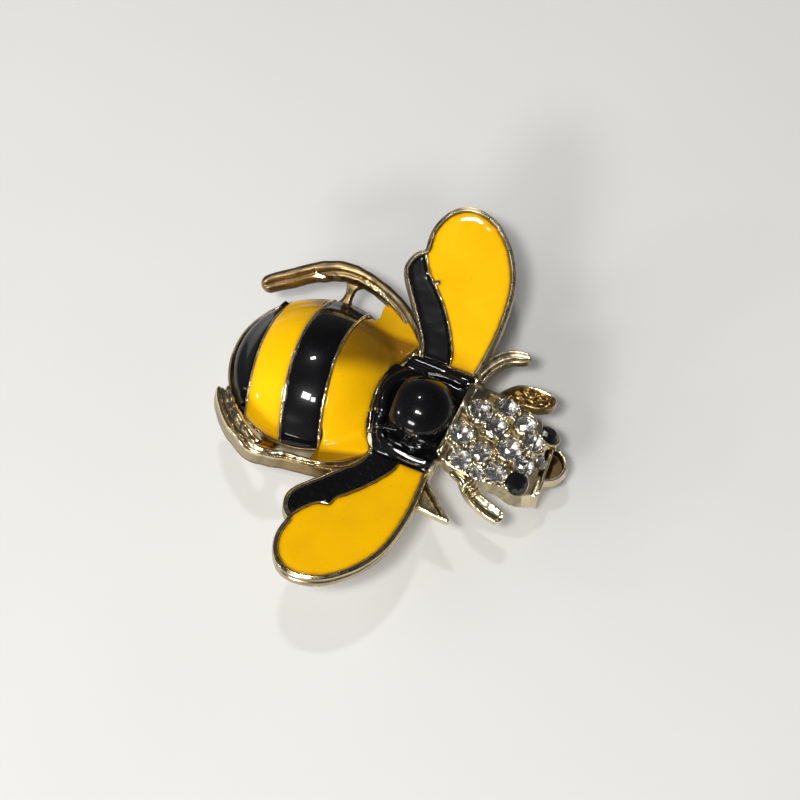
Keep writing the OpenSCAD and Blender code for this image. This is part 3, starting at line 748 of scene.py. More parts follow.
def front_band_enamel():
    """The front yellow band: the band and both webs in one pour, drawn level with the ball again."""
    band = dome_band("front_band_enamel", beside_ridge(2, RIDGE_GAP),
                     lambda y: waist_x(vec(y), 0.3) - 0.04, 14)
    piece = fused([band] + [web_enamel(side) for side in SIDES], "front_band_enamel", 0.1, 5)
    p = points_of(piece)
    rho = np.hypot(p[:, 0] - DOME_X, p[:, 1])
    softened(piece, np.exp(-((rho - 8.45) / 1.0) ** 4) * (p[:, 2] > 5.3), 170)
    p = points_of(piece)
    along, across, _ = in_dome_frame(p).T
    rho = np.hypot(along, across)
    radial = np.linalg.norm(p - DOME_CENTRE, axis=1)
    gap = np.minimum(along - ridge_x(2, across) - RIDGE_GAP, waist_x(across, 0.34) - along)
    upper = (radial > BALL_R - 0.2) & (rho < 7.4) & (gap > 0.12)
    want = BALL_R + rim_rise(rho) - EDGE_DIP * np.exp(-np.maximum(gap, 0) / EDGE_RUN)
    p[upper] = DOME_CENTRE + (p[upper] - DOME_CENTRE) * (want / radial)[upper][:, None]
    put_points(piece, p)
    x, y, _ = p.T
    # Brown edges, for thin enamel and painted shade from the rim, with the painted shade of the far half and
    # the near web
    edges = 0.9 * np.exp(-np.maximum(gap, 0) / THIN_EDGE_SHADE_RUN)
    marked(piece, "thin", np.maximum(edges, shaded_far_half(x, y) + shaded_near_web(x, y)))
    return smooth(piece)


shown(front_band_enamel(), YELLOW, "yellow_enamel", "abdomen_front_yellow")

# Section of the ring under the enamel: radius and height, down round the ledge and up into the dish
RING_SECTION = [
    (8.22, 4.95), (8.42, 5.06), (8.52, 5.19), (8.62, 5.24), (8.72, 5.22), (8.79, 5.14), (8.8, 5.0),
    (8.78, 4.4), (8.8, 3.6), (8.78, 3.2), (8.7, 3.06), (8.55, 3.0), (7.2, 3.0), (6.1, 3.0), (5.95, 3.04),
    (5.88, 3.16), (5.86, 3.6), (5.8, 5.2), (5.66, 5.9), (5.2, 6.22), (4.0, 6.3), (0.0, 6.34),
]


def abdomen_ring():
    """The gilt ledge with its dished back and the core under the enamel, turned about the dome's axis."""
    core_r = BALL_R - 0.55
    core = [(core_r * math.sin(a), core_r * math.cos(a) + BALL_Z) for a in np.linspace(0, 0.97, 24)]
    angles = np.linspace(0, 2 * math.pi, 181)
    waves = 0.015 * np.sin(5 * angles) + 0.012 * np.sin(13 * angles + 1)
    sections = []
    for r, z in core + RING_SECTION:
        edge = r + (waves if 8.4 < r < 8.85 else 0 * angles)
        sections.append(at_level(np.c_[DOME_X + edge * np.cos(angles), edge * np.sin(angles)], z))
    ring = skinned("abdomen_ring", sections)
    p = points_of(ring)
    overflow = 0.95 * (np.abs(p[:, 1]) > 4) * (p[:, 0] > -10.6) * (p[:, 2] > 4.6)
    marked(ring, "dull", np.maximum(0.6 + 0.3 * unevenness(p, 2.5, 33), overflow))
    return smooth(ring, 50)


shown(abdomen_ring(), GILT, "gilt_metal", "casting")


# Sections carried along a line: shares across, left positive, and up
ROUND = [(0.5 * math.cos(x), math.sin(x)) for x in np.linspace(-math.pi, math.pi, 17)[:-1]]
WIRE = [(-0.5, -1.0), (-0.5, -0.2), (-0.38, 0.5), (-0.2, 0.85), (0.0, 1.0), (0.2, 0.85), (0.38, 0.5),
        (0.5, -0.2), (0.5, -1.0)]
FLAT = [(-0.5, -1.0), (-0.5, 0.2), (-0.44, 0.75), (-0.3, 0.95), (0.0, 1.0), (0.3, 0.95), (0.44, 0.75),
        (0.5, 0.2), (0.5, -1.0)]


def rooted_wire(depth):
    """The wire's section with its foot sunk deeper by the given factor."""
    return [(a, b if b > 0 else b * depth) for a, b in WIRE]


def swept(name, line, ups, profile, widths, heights, taper=0.0):
    """A section carried along a line. It may change from place to place, and narrows over the last taper."""
    line, ups = vec(line), unit(vec(ups))
    ahead = unit(np.vstack([line[1:], line[-1:]]) - np.vstack([line[:1], line[:-1]]))
    across = unit(np.cross(ups, ahead))
    ups = np.cross(ahead, across)
    loops = vec(profile)
    if loops.ndim == 2:
        loops = np.repeat(loops[None], len(line), 0)
    loops = np.concatenate([loops, loops[:, :1]], 1)
    if taper:
        runs = np.r_[0, np.cumsum(np.linalg.norm(np.diff(line, axis=0), axis=1))]
        near = np.clip((runs[-1] - runs) / taper, 0, 1)
        middle = loops.mean(1, keepdims=True)
        loops = middle + (loops - middle) * np.sqrt(np.maximum(1 - (1 - near) ** 2, 0.02))[:, None, None]
    sections = (line[:, None] + across[:, None] * (loops[..., 0:1] * vec(widths)[:, None, None])
                + ups[:, None] * (loops[..., 1:2] * vec(heights)[:, None, None]))
    return skinned(name, sections)


def faded(share):
    """A bead's width along it: full in the middle and narrow at both ends."""
    return np.sqrt(np.clip(1 - (2 * share - 1) ** 6, 0.05, 1))


def bead(name, line, width, height, lean=(0.0, 0.0, 1.0), profile=ROUND):
    """A rounded bead laid along a line."""
    line = flow(line, 8)
    fade = faded(np.linspace(0, 1, len(line)))
    return swept(name, line, np.repeat([lean], len(line), 0), profile, width * fade, height * fade)


def grain(place, size, squash=0.8):
    """A small rounded grain of metal that grips the stones beside it."""
    deselect()
    bpy.ops.mesh.primitive_uv_sphere_add(segments=16, ring_count=10, radius=size * MM)
    ball = bpy.context.object
    q = points_of(ball)
    q[:, 2] *= squash
    put_points(ball, q + place)
    return ball


# Ridges between the bands: index, width, share of the usual height, seed
RIDGE_WIRES = [(0, 0.18, 0.4, 21), (1, 0.36, 1.0, 22), (2, 0.32, 1.0, 23)]


def ridge_wires():
    """The thin gilt ridges between the bands: uneven in width and height, as hand-poured edges leave them."""
    wires = []
    for i, width, low_share, seed in RIDGE_WIRES:
        low, high = span_limits(lambda y, i=i: float(ridge_x(i, vec(y))), 8.62)
        y = np.linspace(low, high, 260)
        line = on_dome(ridge_x(i, y), y, 0.0)
        wander = np.stack([y, 0 * y], 1)
        widths = width * (1 + 0.35 * unevenness(wander, 2.1, seed) + 0.2 * unevenness(wander, 0.8, seed + 5))
        heights = (0.1 + 0.045 * unevenness(wander, 1.3, seed + 9)) * low_share
        wires.append(swept(f"ridge_{i}", line, line - DOME_CENTRE, rooted_wire(8), widths, heights))
    low, high = span_limits(lambda y: float(waist_x(vec(y), 0.15)), DOME_R)
    y = np.linspace(low, high, 200)
    line = on_dome(waist_x(y, 0.15), y, 0.02)
    widths = 0.2 * (1 + 0.3 * unevenness(np.stack([y, y], 1), 1.4, 31))
    heights = np.full(len(y), 0.015)
    wires.append(swept("ridge_waist", line, line - DOME_CENTRE, rooted_wire(8), widths, heights))
    return joined(wires, "ridge_wires")


shown(smooth(ridge_wires(), 60), GILT, "gilt_metal", "casting")


# Wings
def wing_line(rows):
    """A smooth line on a wing from shares of its chord and span."""
    return flow([(-WING_CHORD * a, WING_SPAN * b) for a, b in rows], 6)


WING_LEAD = wing_line(LEAD_EDGE + SPLIT_LINE[:1])
WING_SPLIT = wing_line(SPLIT_LINE)
WING_TRAIL = wing_line(SPLIT_LINE[:1] + TRAIL_EDGE)

# Section of a wing's tray: how far inside the outline, and height
TRAY_RINGS = [
    (0.6, -0.52), (0.56, -0.14), (0.52, -0.02), (0.45, 0.03), (0.37, 0.04), (0.29, 0.02), (0.23, -0.05),
    (0.18, -0.06), (0.12, -0.02), (0.05, -0.06), (0.01, -0.16), (0.0, -0.28), (0.04, -0.42), (0.14, -0.5),
    (0.17, -0.58), (0.13, -0.66), (0.05, -0.74), (0.01, -0.86), (0.0, -1.05), (0.02, -1.22), (0.08, -1.34),
    (0.18, -1.4), (0.64, -1.4), (0.74, -1.34), (0.8, -1.22), (0.86, -0.98), (0.98, -0.9),
]

# Small beads of metal on the far wing's dividing line: place and size
SPLIT_BEADS = [(-8.67, 8.67, 0.22), (-7.35, 7.99, 0.32)]

# Where the wings' enamel ends beside the thorax
POOL_Y = 0.05


def root_cut(line):
    """Drops what lies inside the thorax's side and ends the line on it."""
    inside = line[:, 1] < ROOT_Y
    if inside[0]:
        first = int(np.argmax(~inside))
        a, b = line[first - 1], line[first]
        t = (ROOT_Y - a[1]) / (b[1] - a[1])
        return np.vstack([[a + t * (b - a)], line[first:]])
    if inside[-1]:
        return root_cut(line[::-1])[::-1]
    return line


def wing_outline():
    """A wing's outline, which of its points lie at the root, and how many are on the leading edge."""
    lead, trail = root_cut(WING_LEAD), root_cut(WING_TRAIL)
    base = even(np.vstack([trail[-1], lead[0]]), 0.6)[1:-1]
    loop = np.vstack([lead, trail[1:], base])
    root = np.zeros(len(loop), bool)
    root[len(loop) - len(base) - 1:] = True
    root[0] = True
    return loop, root, len(lead)


def wing_placed(points, side):
    """Points of a wing, drawn flat from its root, in their place on the brooch."""
    return mirrored(turned(points, x=WING_TILT, z=WING_SWEEP[side]) + WING_ROOT, side)


def dividing_line(side):
    """The line between the yellow and the black of a wing. The near one has a blob of black in the yellow."""
    split = even(WING_SPLIT, 0.12)
    if side == "right":
        blob = np.exp(-(np.linalg.norm(split - (-7.3, 7.5), axis=1) / 0.55) ** 2)
        split += 0.5 * blob[:, None] * line_normals(split)
    return split


def split_wire(side):
    """The thin gilt wire along a wing's dividing line."""
    split = dividing_line(side)
    split = split[split[:, 1] > 0.1][4:]
    widths = 0.17 * (1 + 0.35 * unevenness(split, 1.7, 43) + 0.15 * unevenness(split, 0.6, 44))
    heights = 0.05 + 0.03 * unevenness(split, 1.1, 45)
    line = wing_placed(at_level(split, -0.03), side)
    up = wing_placed([(0, 0, 1)], side)[0] - wing_placed([(0, 0, 0)], side)[0]
    return swept("split", line, np.repeat(up[None], len(line), 0), rooted_wire(5), widths, heights)


def wing_tray(side):
    """The wing's gilt tray: a wall with two beads and a groove, a rim round the enamel, a recessed back."""
    loop, root, _ = wing_outline()
    slope = math.tan(math.radians(WING_TILT))
    rings = []
    for d, z in TRAY_RINGS:
        ring = inset(loop, d)
        waves = 0.02 * unevenness(at_level(loop, z * 2), 3.1, 41)
        heights = np.full(len(loop), z) + (waves if z > -0.3 else 0)
        if z > -0.9 and d < 0.6:
            heights[root] = np.minimum(heights[root], -0.46)
        ring[root, 1] = ROOT_Y + np.minimum(heights[root], 0) * slope + (d if d > 0.3 else 0)
        rings.append(at_level(ring, heights))
    tray = ringed("tray", rings)
    p = points_of(tray)
    gap = edge_distance(p, closed_line(loop))
    # Painted shade in the rim's two grooves and on the walls; the far tray is also darker all over, unevenly
    groove_shade = 0.8 * np.exp(-((gap - 0.2) / 0.05) ** 2) * (p[:, 2] > -0.3)
    groove_shade += 0.85 * np.exp(-((p[:, 2] + 0.6) / 0.09) ** 2) * (gap < 0.3)
    far_side_dark = (0.55 + 0.35 * unevenness(p, 2.6, 49)) * (side == "left")
    marked(tray, "dull", np.maximum.reduce([groove_shade, streaked_wall_shade(tray, 0.85, 47), far_side_dark]))
    put_points(tray, wing_placed(p, side))
    tidy_mesh(tray)
    pieces = [tray, split_wire(side)]
    if side == "left":
        for x, y, size in SPLIT_BEADS:
            pieces.append(grain(wing_placed([(x, y, 0.05)], side)[0], size, 0.85))
    return smooth(joined(pieces, f"{side}_wing_tray"), 55)


def field_outline(side, front):
    """The plan of one poured field, between the rim and the dividing line, with a slightly ragged edge."""
    loop, root, lead_count = wing_outline()
    inner = inset(loop, 0.54)
    inner[root, 1] = POOL_Y
    split = dividing_line(side)
    split = split + (0.1 if front else -0.1) * line_normals(split)
    split = split[split[:, 1] > POOL_Y]
    split_end = [(split[-1][0], POOL_Y)]
    if front:
        outline = np.vstack([inner[:lead_count - 1], split[5:], split_end])
    else:
        trail_count = len(root_cut(WING_TRAIL))
        rim = inner[lead_count + 1:lead_count + trail_count - 2][::-1]
        outline = np.vstack([[(rim[0][0], POOL_Y)], rim, split[8:], split_end])
    outline = left_round(even(outline, 0.16, closed=True))
    size, seed = (1.2, 51) if front else (0.8, 53)
    ragged = 0.05 * unevenness(outline, size, seed)
    return outline + leftward(unit(np.roll(outline, -1, 0) - outline)) * ragged[:, None]


def facing_out(piece):
    """Turns the faces outwards again after the piece was mirrored."""
    opened(piece)
    bpy.ops.mesh.normals_make_consistent(inside=False)
    bpy.ops.object.mode_set(mode="OBJECT")
    return piece


def wing_pool(side, front):
    """One poured field of a wing, sunk a little along its edge and darker brown there: thin enamel and
    painted shade.
    """
    outline = field_outline(side, front)
    name = f"{side}_{'forewing' if front else 'hindwing'}_enamel"
    piece = fused([ringed(name, [at_level(outline, z) for z in (-0.46, -0.05)])], name, 0.1, 8)
    p = points_of(piece)
    gap = edge_distance(p, closed_line(outline))
    if front:
        height, size, seed, sag, run = 0.01, 5.0, 57, 0.07, 1.5
    else:
        height, size = (0.012, 3.3) if side == "left" else (0.045, 0.9)
        seed, sag, run = 59, 0.06, 0.7
    sunk = sag * (np.clip(gap, 0, run) / run - 1) ** 3
    p[:, 2] += (p[:, 2] > -0.25) * (height * unevenness(p[:, :2], size, seed) + sunk)
    # Thin enamel and painted shade: darker along the rim and towards the root by the thorax
    thin_root_shade = np.exp(-np.maximum(p[:, 1] - 0.1, 0) / 0.22)
    put_points(piece, wing_placed(p, side))
    marked(piece, "thin", np.maximum(0.85 * np.exp(-np.maximum(gap - 0.05, 0) / 0.13), thin_root_shade * 0.9))
    if side == "right":
        facing_out(piece)
    return smooth(piece, 60)


for side in SIDES:
    shown(wing_tray(side), GILT, "gilt_metal", "casting")
    shown(wing_pool(side, True), YELLOW, "yellow_enamel", f"{side}_wing_yellow")
    shown(wing_pool(side, False), BLACK, "black_enamel", f"{side}_wing_black")


# Legs: sections of a hind leg, of a narrow leg and of a strut
LEG_SECTION = [
    (-0.34, -1.0), (-0.45, -0.96), (-0.5, -0.82), (-0.5, -0.45), (-0.5, -0.2), (-0.46, -0.07), (-0.38, 0.0),
    (-0.28, -0.01), (-0.19, -0.07), (-0.13, -0.18), (-0.07, -0.22), (-0.01, -0.18), (0.05, -0.11),
    (0.13, -0.08), (0.23, -0.1), (0.32, -0.18), (0.4, -0.32), (0.46, -0.5), (0.5, -0.75), (0.47, -0.93),
    (0.38, -1.0), (0.0, -1.0),
]
FAR_SECTION = [
    (-0.34, -1.0), (-0.45, -0.96), (-0.5, -0.82), (-0.52, -0.4), (-0.49, -0.2), (-0.42, -0.08),
    (-0.32, -0.01), (-0.2, 0.02), (-0.08, 0.0), (0.02, -0.06), (0.09, -0.15), (0.13, -0.27), (0.17, -0.3),
    (0.22, -0.24), (0.3, -0.22), (0.4, -0.29), (0.48, -0.42), (0.54, -0.6), (0.56, -0.8), (0.5, -0.93),
    (0.38, -1.0), (0.0, -1.0),
]
BAND_SECTION = [
    (-0.4, -1.0), (-0.5, -0.8), (-0.5, -0.25), (-0.46, -0.05), (-0.38, 0.0), (-0.3, -0.06), (-0.22, -0.22),
    (0.0, -0.3), (0.22, -0.22), (0.3, -0.06), (0.38, 0.0), (0.46, -0.05), (0.5, -0.25), (0.5, -0.8),
    (0.4, -1.0), (0.0, -1.0),
]
STRUT_SECTION = [(-0.5, -0.8), (-0.5, -0.3), (-0.3, 0.0), (0.3, 0.0), (0.5, -0.3), (0.5, -0.8), (0, -1.0)]

# The strut beside the abdomen's rim: place from the dome's centre, and height over the rim
STRUT_LINE = [(-0.8, 8.25, -0.3), (-0.8, 8.8, -0.05), (-0.75, 9.5, 0.35), (-0.7, 10.2, 0.9),
              (-0.6, 10.9, 1.2)]

# Far hind leg: the flats that catch the light, by place and half length, and a painted highlight line
FAR_FLATS = [(-12.53, 9.3, 0.85), (-10.82, 9.8, 0.55)]
PAINTED_HIGHLIGHT_LINE = [(-7.9, 10.75), (-6.4, 10.3), (-4.5, 9.2), (-3.7, 8.7)]

# Sections of the broad legs: how far inside the outline, and height
BLADE_RINGS = [(0.0, -0.7), (0.0, -0.1), (0.06, 0.02), (0.2, 0.09), (0.34, 0.0), (0.44, -0.18), (0.52, -0.4),
               (0.58, -0.42)]
PADDLE_RINGS = [(0.0, -1.1), (0.0, -0.15), (0.05, -0.02), (0.18, 0.06), (0.3, -0.02), (0.42, -0.3),
                (0.55, -0.42), (0.62, -0.42)]

# Near fore leg: the line of its knuckle and the places of its ribs
KNUCKLE = [(8.3, -4.75, 5.9), (9.1, -5.1, 6.0), (9.9, -5.45, 6.05), (10.5, -6.0, 6.0)]
RIBS = [(10.75, -5.25, 6.35), (11.1, -5.5, 6.3), (11.45, -5.8, 6.25), (11.8, -6.15, 6.2)]


def leg_placed(points, turn, root, side):
    """Points of a leg, drawn flat from its root, in their place on the brooch."""
    return mirrored(turned(points, x=turn[0], y=turn[1]) + root, side)


def leg_ups(turn, side, count):
    """A leg's upward direction, once for each point of a line."""
    return np.repeat(leg_placed([(0, 0, 1)], turn, (0, 0, 0), side), count, 0)


def hind_band(rows, side):
    """The flat band of a hind leg with its two rails and the groove between them."""
    line = at_level(rows[:, :2], 0.05 * unevenness(rows[:, :2], 3.0, 61))
    widths = rows[:, 2] * (1 + 0.06 * unevenness(rows[:, :2], 1.6, 63))
    section = FAR_SECTION if side == "left" else [(-a, b) for a, b in LEG_SECTION]
    section = np.repeat(vec(section)[None], len(line), 0)
    depth = 1 + (0.1 if side == "left" else 0.35) * unevenness(rows[:, :2], 1.5, 65)
    valley = (section[..., 1] < -0.15) & (section[..., 1] > -0.25)
    section[..., 1] = np.where(valley, section[..., 1] * depth[:, None], section[..., 1])
    placed = leg_placed(line, HIND_TURN, HIND_ROOT, side)
    ups = leg_ups(HIND_TURN, side, len(line))
    return swept("leg", placed, ups, section, widths, np.full(len(line), 1.9), 0.7)


def hind_strut(side):
    """The strut from the abdomen's rim to a hind leg, wider at both ends."""
    line = flow([(DOME_X + x, y, RIM_Z + z) for x, y, z in STRUT_LINE], 6)
    t = np.linspace(0, 1, len(line))
    widths = (0.95 if side == "left" else 1.5) + 2.2 * np.abs(2 * t - 1) ** 2.5
    ups = np.repeat(mirrored([(0, -0.6, 0.8)], side), len(line), 0)
    return swept("strut", mirrored(line, side), ups, STRUT_SECTION, widths, np.full(len(line), 0.75))


def inner_ridge(rows, side):
    """The second ridge inside the outer half of the near hind leg."""
    far_end = rows[int(len(rows) * 0.52):]
    line = far_end[:, :2] + line_normals(far_end[:, :2]) * (0.5 * far_end[:, 2:] + 0.22)
    line = at_level(line, -0.45 + 0.1 * unevenness(line, 1.8, 64))
    widths = 0.75 * faded(np.linspace(0, 1, len(line))) * (1 + 0.2 * unevenness(line[:, :2], 1.4, 66))
    placed = leg_placed(line, HIND_TURN, HIND_ROOT, side)
    return swept("inner_ridge", placed, leg_ups(HIND_TURN, side, len(line)), ROUND, widths, 0.6 * widths)


def hind_web(side):
    """The flat web of metal between the thorax and a hind leg."""
    outline = web_outline()
    if side == "right":
        outline[:, 0] = np.maximum(outline[:, 0], -4.95)
    web = ringed("web", [at_level(outline, z) for z in (RIM_Z - 1.2, RIM_Z)])
    put_points(web, mirrored(points_of(web), side))
    return tidy_mesh(web)


def flattened(p):
    """Lays points of the far hind leg on its two leaning flats, and gives each point's share in them."""
    x, y, z = p.T
    flats = np.zeros(len(p))
    for mid_x, mid_y, size in FAR_FLATS:
        share = np.exp(-(((x - mid_x) / size) ** 6) - ((y - mid_y) / 0.29) ** 6) * (z > 6.6)
        leaning = 7.5 - 0.158 * (x - mid_x) + 0.548 * (y - mid_y)
        z += share * (leaning - z)
        flats = np.maximum(flats, share)
    return flats


def hind_leg(side):
    """A hind leg with its strut to the abdomen and the web at its root."""
    rows = flow([(-a * HIND_BACK, b * HIND_OUT, c * HIND_W) for a, b, c in HIND_LEG[side]], 12)
    rows = rows[rows[:, 1] > -0.25]
    parts = [hind_band(rows, side), hind_strut(side)]
    if side == "right":
        parts.append(inner_ridge(rows, side))
    leg = fused(parts + [hind_web(side)], f"{side}_hind_leg", 0.075, 5 if side == "left" else 3)
    p = points_of(leg)
    x, y, z = p.T
    near_strut = np.exp(-((x - DOME_X + 0.7) / 1.2) ** 4) * (np.abs(y) < 10.5)
    if side == "left":
        flats = flattened(p)
        put_points(leg, p)
        inward = -normals_of(leg)[:, 1]
        # Painted warm reflection on the inner face, and painted warm shade beside the strut
        inner_face_reflection = np.clip(inward * 2, 0, 1) * (x < -6.5)
        marked(leg, "warm_reflection_and_shade", np.maximum(0.6 * inner_face_reflection, 0.6 * near_strut))
        # Painted shade on the inner face, and dark dull metal with painted shade on the rails
        hollow = 0.8 * np.clip(inward * 2 - 0.2, 0, 1) * (x > -8.6) * (x < -5)
        rail = 0.9 + 0.12 * unevenness(p, 2.2, 67)
        # A line that stays bright as a painted highlight; the flats stay clean for the lamp's highlight
        painted_gleam = np.exp(-((edge_distance(p, vec(PAINTED_HIGHLIGHT_LINE)) / 0.24) ** 4)) * (z > 6.0)
        dark = np.maximum(hollow, np.where(inward < 0.55, rail, 0.65))
        marked(leg, "dull", dark * (1 - np.maximum(flats, painted_gleam)))
    else:
        # Painted warm reflection on the top towards the front, warm shade beside the strut, and painted shade
        # on the walls
        marked(leg, "warm_reflection_and_shade", np.maximum(0.9 * near_strut, 0.4 * (x > -7.5) * (z > 5.3)))
        shaded_walls = 0.85 * wall_share(leg, 0.45)
        marked(leg, "dull", np.maximum.reduce([streaked_wall_shade(leg, 0.95, 69), 0.35 * near_strut, shaded_walls]))
    return smooth(leg, 60)


for side in SIDES:
    shown(hind_leg(side), GILT, "gilt_metal", "casting")


def band_leg(name, rows, reach, root, turn, side):
    """A narrow leg: a flat band with a raised line along each edge."""
    rows = flow([(a * reach[0], b * reach[1], c * BAND_W) for a, b, c in rows], 10)
    rows = rows[rows[:, 1] > -0.4]
    line = leg_placed(at_level(rows[:, :2], 0.04 * unevenness(rows[:, :2], 2.0, 71)), turn, root, side)
    heights = np.full(len(rows), BAND_H)
    return swept(name, line, leg_ups(turn, side, len(rows)), BAND_SECTION, rows[:, 2], heights, 0.5)


def dished(name, outline, rings, root, turn, side):
    """A broad leg: an outline with a raised rim round a hollow."""
    outline = left_round(outline)
    return ringed(name, [leg_placed(at_level(inset(outline, d), z), turn, root, side) for d, z in rings])


def hollow_share(piece, outline, root, turn, side, start):
    """How far each point of a broad leg lies inside its rim, from 0 to 1, on the upper face only."""
    edge = leg_placed(at_level(outline, 0.0), turn, root, side)
    gap = edge_distance(points_of(piece), closed_line(edge)[:, :2])
    return np.clip((gap - start) / 0.15, 0, 1) * (normals_of(piece)[:, 2] > 0)


def left_mid_leg():
    """The far middle leg: a narrow band."""
    band = band_leg("left_mid_leg", MID_LEG, MID_REACH, MID_ROOT, MID_TURN, "left")
    leg = fused([band], "left_mid_leg", 0.07, 2)
    marked(leg, "dull", 0.5 + 0.4 * unevenness(points_of(leg), 1.6, 72))
    return smooth(leg, 60)


def right_mid_leg():
    """The near middle leg: a broad blade with a raised rim, browner towards its root."""
    blade = even(vec([(a * MID_REACH[0], b * MID_REACH[1]) for a, b in MID_BLADE]), 0.12, closed=True)
    leg = dished("right_mid_leg", blade, BLADE_RINGS, MID_ROOT, MID_TURN, "right")
    leg = fused([leg], "right_mid_leg", 0.065, 2)
    inner = hollow_share(leg, blade, MID_ROOT, MID_TURN, "right", 0.36)
    # Painted warm shade in the hollow, deeper towards the root
    root_share = np.clip((9.2 + points_of(leg)[:, 1]) / 2.0, 0, 1)
    marked(leg, "dull", inner * (0.25 + 0.6 * root_share))
    marked(leg, "warm_reflection_and_shade", inner * (0.3 + 0.6 * root_share))
    return smooth(leg, 60)


def left_fore_leg():
    """The far fore leg: a paddle with a raised rim and a rough brown hollow."""
    outline = flow([(a * PADDLE_REACH[0], b * PADDLE_REACH[1]) for a, b in FORE_PADDLE], 6)
    paddle = even(outline, 0.15, closed=True)
    leg = dished("left_fore_leg", paddle, PADDLE_RINGS, PADDLE_ROOT, PADDLE_TURN, "left")
    leg = fused([leg], "left_fore_leg", 0.07, 2)
    inner = hollow_share(leg, paddle, PADDLE_ROOT, PADDLE_TURN, "left", 0.3)
    p = points_of(leg)
    p[:, 2] += inner * 0.2 * unevenness(p[:, :2], 0.9, 73)
    put_points(leg, p)
    # Dark dull metal and painted warm shade in the hollow, and painted shade along the leg's inner side
    shade = np.clip((6.9 - p[:, 1]) / 0.8, 0, 1) * 0.55
    marked(leg, "dull", np.maximum(inner * (0.62 + 0.3 * unevenness(p, 0.9, 75)), shade))
    marked(leg, "warm_reflection_and_shade", np.maximum(inner * 0.9, shade))
    return smooth(leg, 60)


def right_fore_leg():
    """The near fore leg: a band with a knuckle, four ribs and a scooped end."""
    parts = [band_leg("right_fore_leg", FORE_LEG, FORE_REACH, FORE_ROOT, FORE_TURN, "right")]
    parts.append(bead("knuckle", KNUCKLE, 0.95, 0.45))
    for place in RIBS:
        rib = [vec(place) + offset for offset in ((-0.45, -0.5, -0.1), (-0.1, -0.1, 0), (0.25, 0.3, -0.1))]
        parts.append(bead("rib", rib, 0.26, 0.34))
    leg = fused(parts, "right_fore_leg", 0.07, 2)
    p = points_of(leg)
    x, y, z = p.T
    scoop = np.exp(-(((x - 14.05) / 0.8) ** 2 + ((y + 7.1) / 0.42) ** 2)) * (z > 5.6)
    z -= 0.4 * scoop
    put_points(leg, p)
    applied(leg, "SMOOTH", factor=0.5, iterations=3)
    # Painted shade in the scoop
    marked(leg, "dull", 0.9 * scoop)
    return smooth(leg, 60)


for leg in (left_mid_leg, right_mid_leg, left_fore_leg, right_fore_leg):
    shown(leg(), GILT, "gilt_metal", "casting")


# Thorax and the metal under it
def thorax_bed():
    """The metal floor under the thorax with the core of its boss, from the casting."""
    bed = copy_of("casting", "thorax_bed")
    cut_away(bed, (HEAD_REAR + 0.3, 0, 0), (1, 0, 0))
    cut_away(bed, (-3.7, 0, 0), (-1, 0, 0))
    cut_away(bed, (0, 5.99, 0), (0, 1, 0))
    cut_away(bed, (0, -5.99, 0), (0, -1, 0))
    cut_away(bed, (0, 0, 9.2), (0, 0, 1))
    return smooth(fused([bed], "thorax_bed", 0.19, 2), 50)


shown(thorax_bed(), GILT, "gilt_metal", "casting")

# Broad collars round the boss: points, width and height
COLLARS = [
    ([(1.9, 3.6, 6.2), (0.2, 3.0, 6.35), (-0.85, 1.6, 6.5), (-1.1, 0.0, 6.55), (-0.75, -1.3, 6.45),
      (-0.2, -2.2, 6.2)], 1.6, 0.8),
    ([(-1.2, 3.9, 6.35), (-1.75, 2.2, 6.5), (-1.85, 0.0, 6.55), (-1.45, -2.0, 6.45)], 0.8, 0.28),
    ([(0.6, 3.7, 6.0), (2.2, 4.3, 6.1), (3.9, 4.6, 6.1), (5.7, 4.5, 6.0)], 0.7, 0.35),
]

# Fine folds on the near side, which lean to the bee's right: points, width and height
FOLDS = [
    ([(0.04, -3.7, 6.62), (0.7, -4.5, 6.45), (1.6, -5.1, 6.3), (2.7, -5.35, 6.22), (4.0, -5.45, 6.18),
      (5.1, -5.4, 6.2), (6.0, -5.2, 6.27)], 0.95, 0.55),
    ([(-0.1, -3.4, 6.6), (1.06, -3.3, 6.72), (2.11, -3.1, 6.8)], 0.45, 0.34),
    ([(2.11, -3.1, 6.8), (3.18, -3.18, 6.98), (4.31, -3.43, 7.05), (5.3, -3.34, 6.9), (6.0, -3.15, 6.7)],
     0.5, 0.36),
    ([(2.92, -3.5, 6.7), (2.8, -3.95, 6.65), (2.7, -4.5, 6.5)], 0.4, 0.34),
    ([(3.0, -3.2, 6.8), (3.26, -3.75, 6.72), (3.16, -4.5, 6.55)], 0.32, 0.34),
    ([(3.9, -3.95, 6.65), (4.4, -4.0, 6.65), (4.9, -3.9, 6.65)], 0.6, 0.25),
]
NEAR_LEAN = (0.1, -0.45, 0.89)

# The leaning crest near the thorax's right edge, in plan
CREST_X = (1.2, 2.6, 3.9, 5.0, 6.0)
CREST_Y = (-4.95, -5.32, -5.47, -5.43, -5.25)


def rounded_boss(p):
    """Lays the points near the boss back on its true ball."""
    x, _, z = p.T
    away = p - BOSS_CENTRE
    reach = np.linalg.norm(away, axis=1)
    ball = (np.abs(reach - BOSS_R) < 0.3) & (z > 7.0) & (x > 0.8) & (x < 6.1)
    share = np.clip((z - 7.0) / 0.8, 0, 1)[:, None]
    on_ball = vec(BOSS_CENTRE) + away / reach[:, None] * BOSS_R
    p[ball] = (p + (on_ball - p) * share)[ball]


def leaning_crest(p):
    """Lays the points along the crest on its leaning flat."""
    x, y, z = p.T
    beside = y - np.interp(x, CREST_X, CREST_Y)
    flat = 6.7 - 0.104 * (x - 3.8) + 0.497 * (y + 5.2) - 0.02 * ((x - 3.8) / 1.9) ** 2
    share = np.exp(-((beside / 0.26) ** 6) - ((x - 4.1) / 2.2) ** 8) * (z > 6.1)
    z += share * (flat - z)


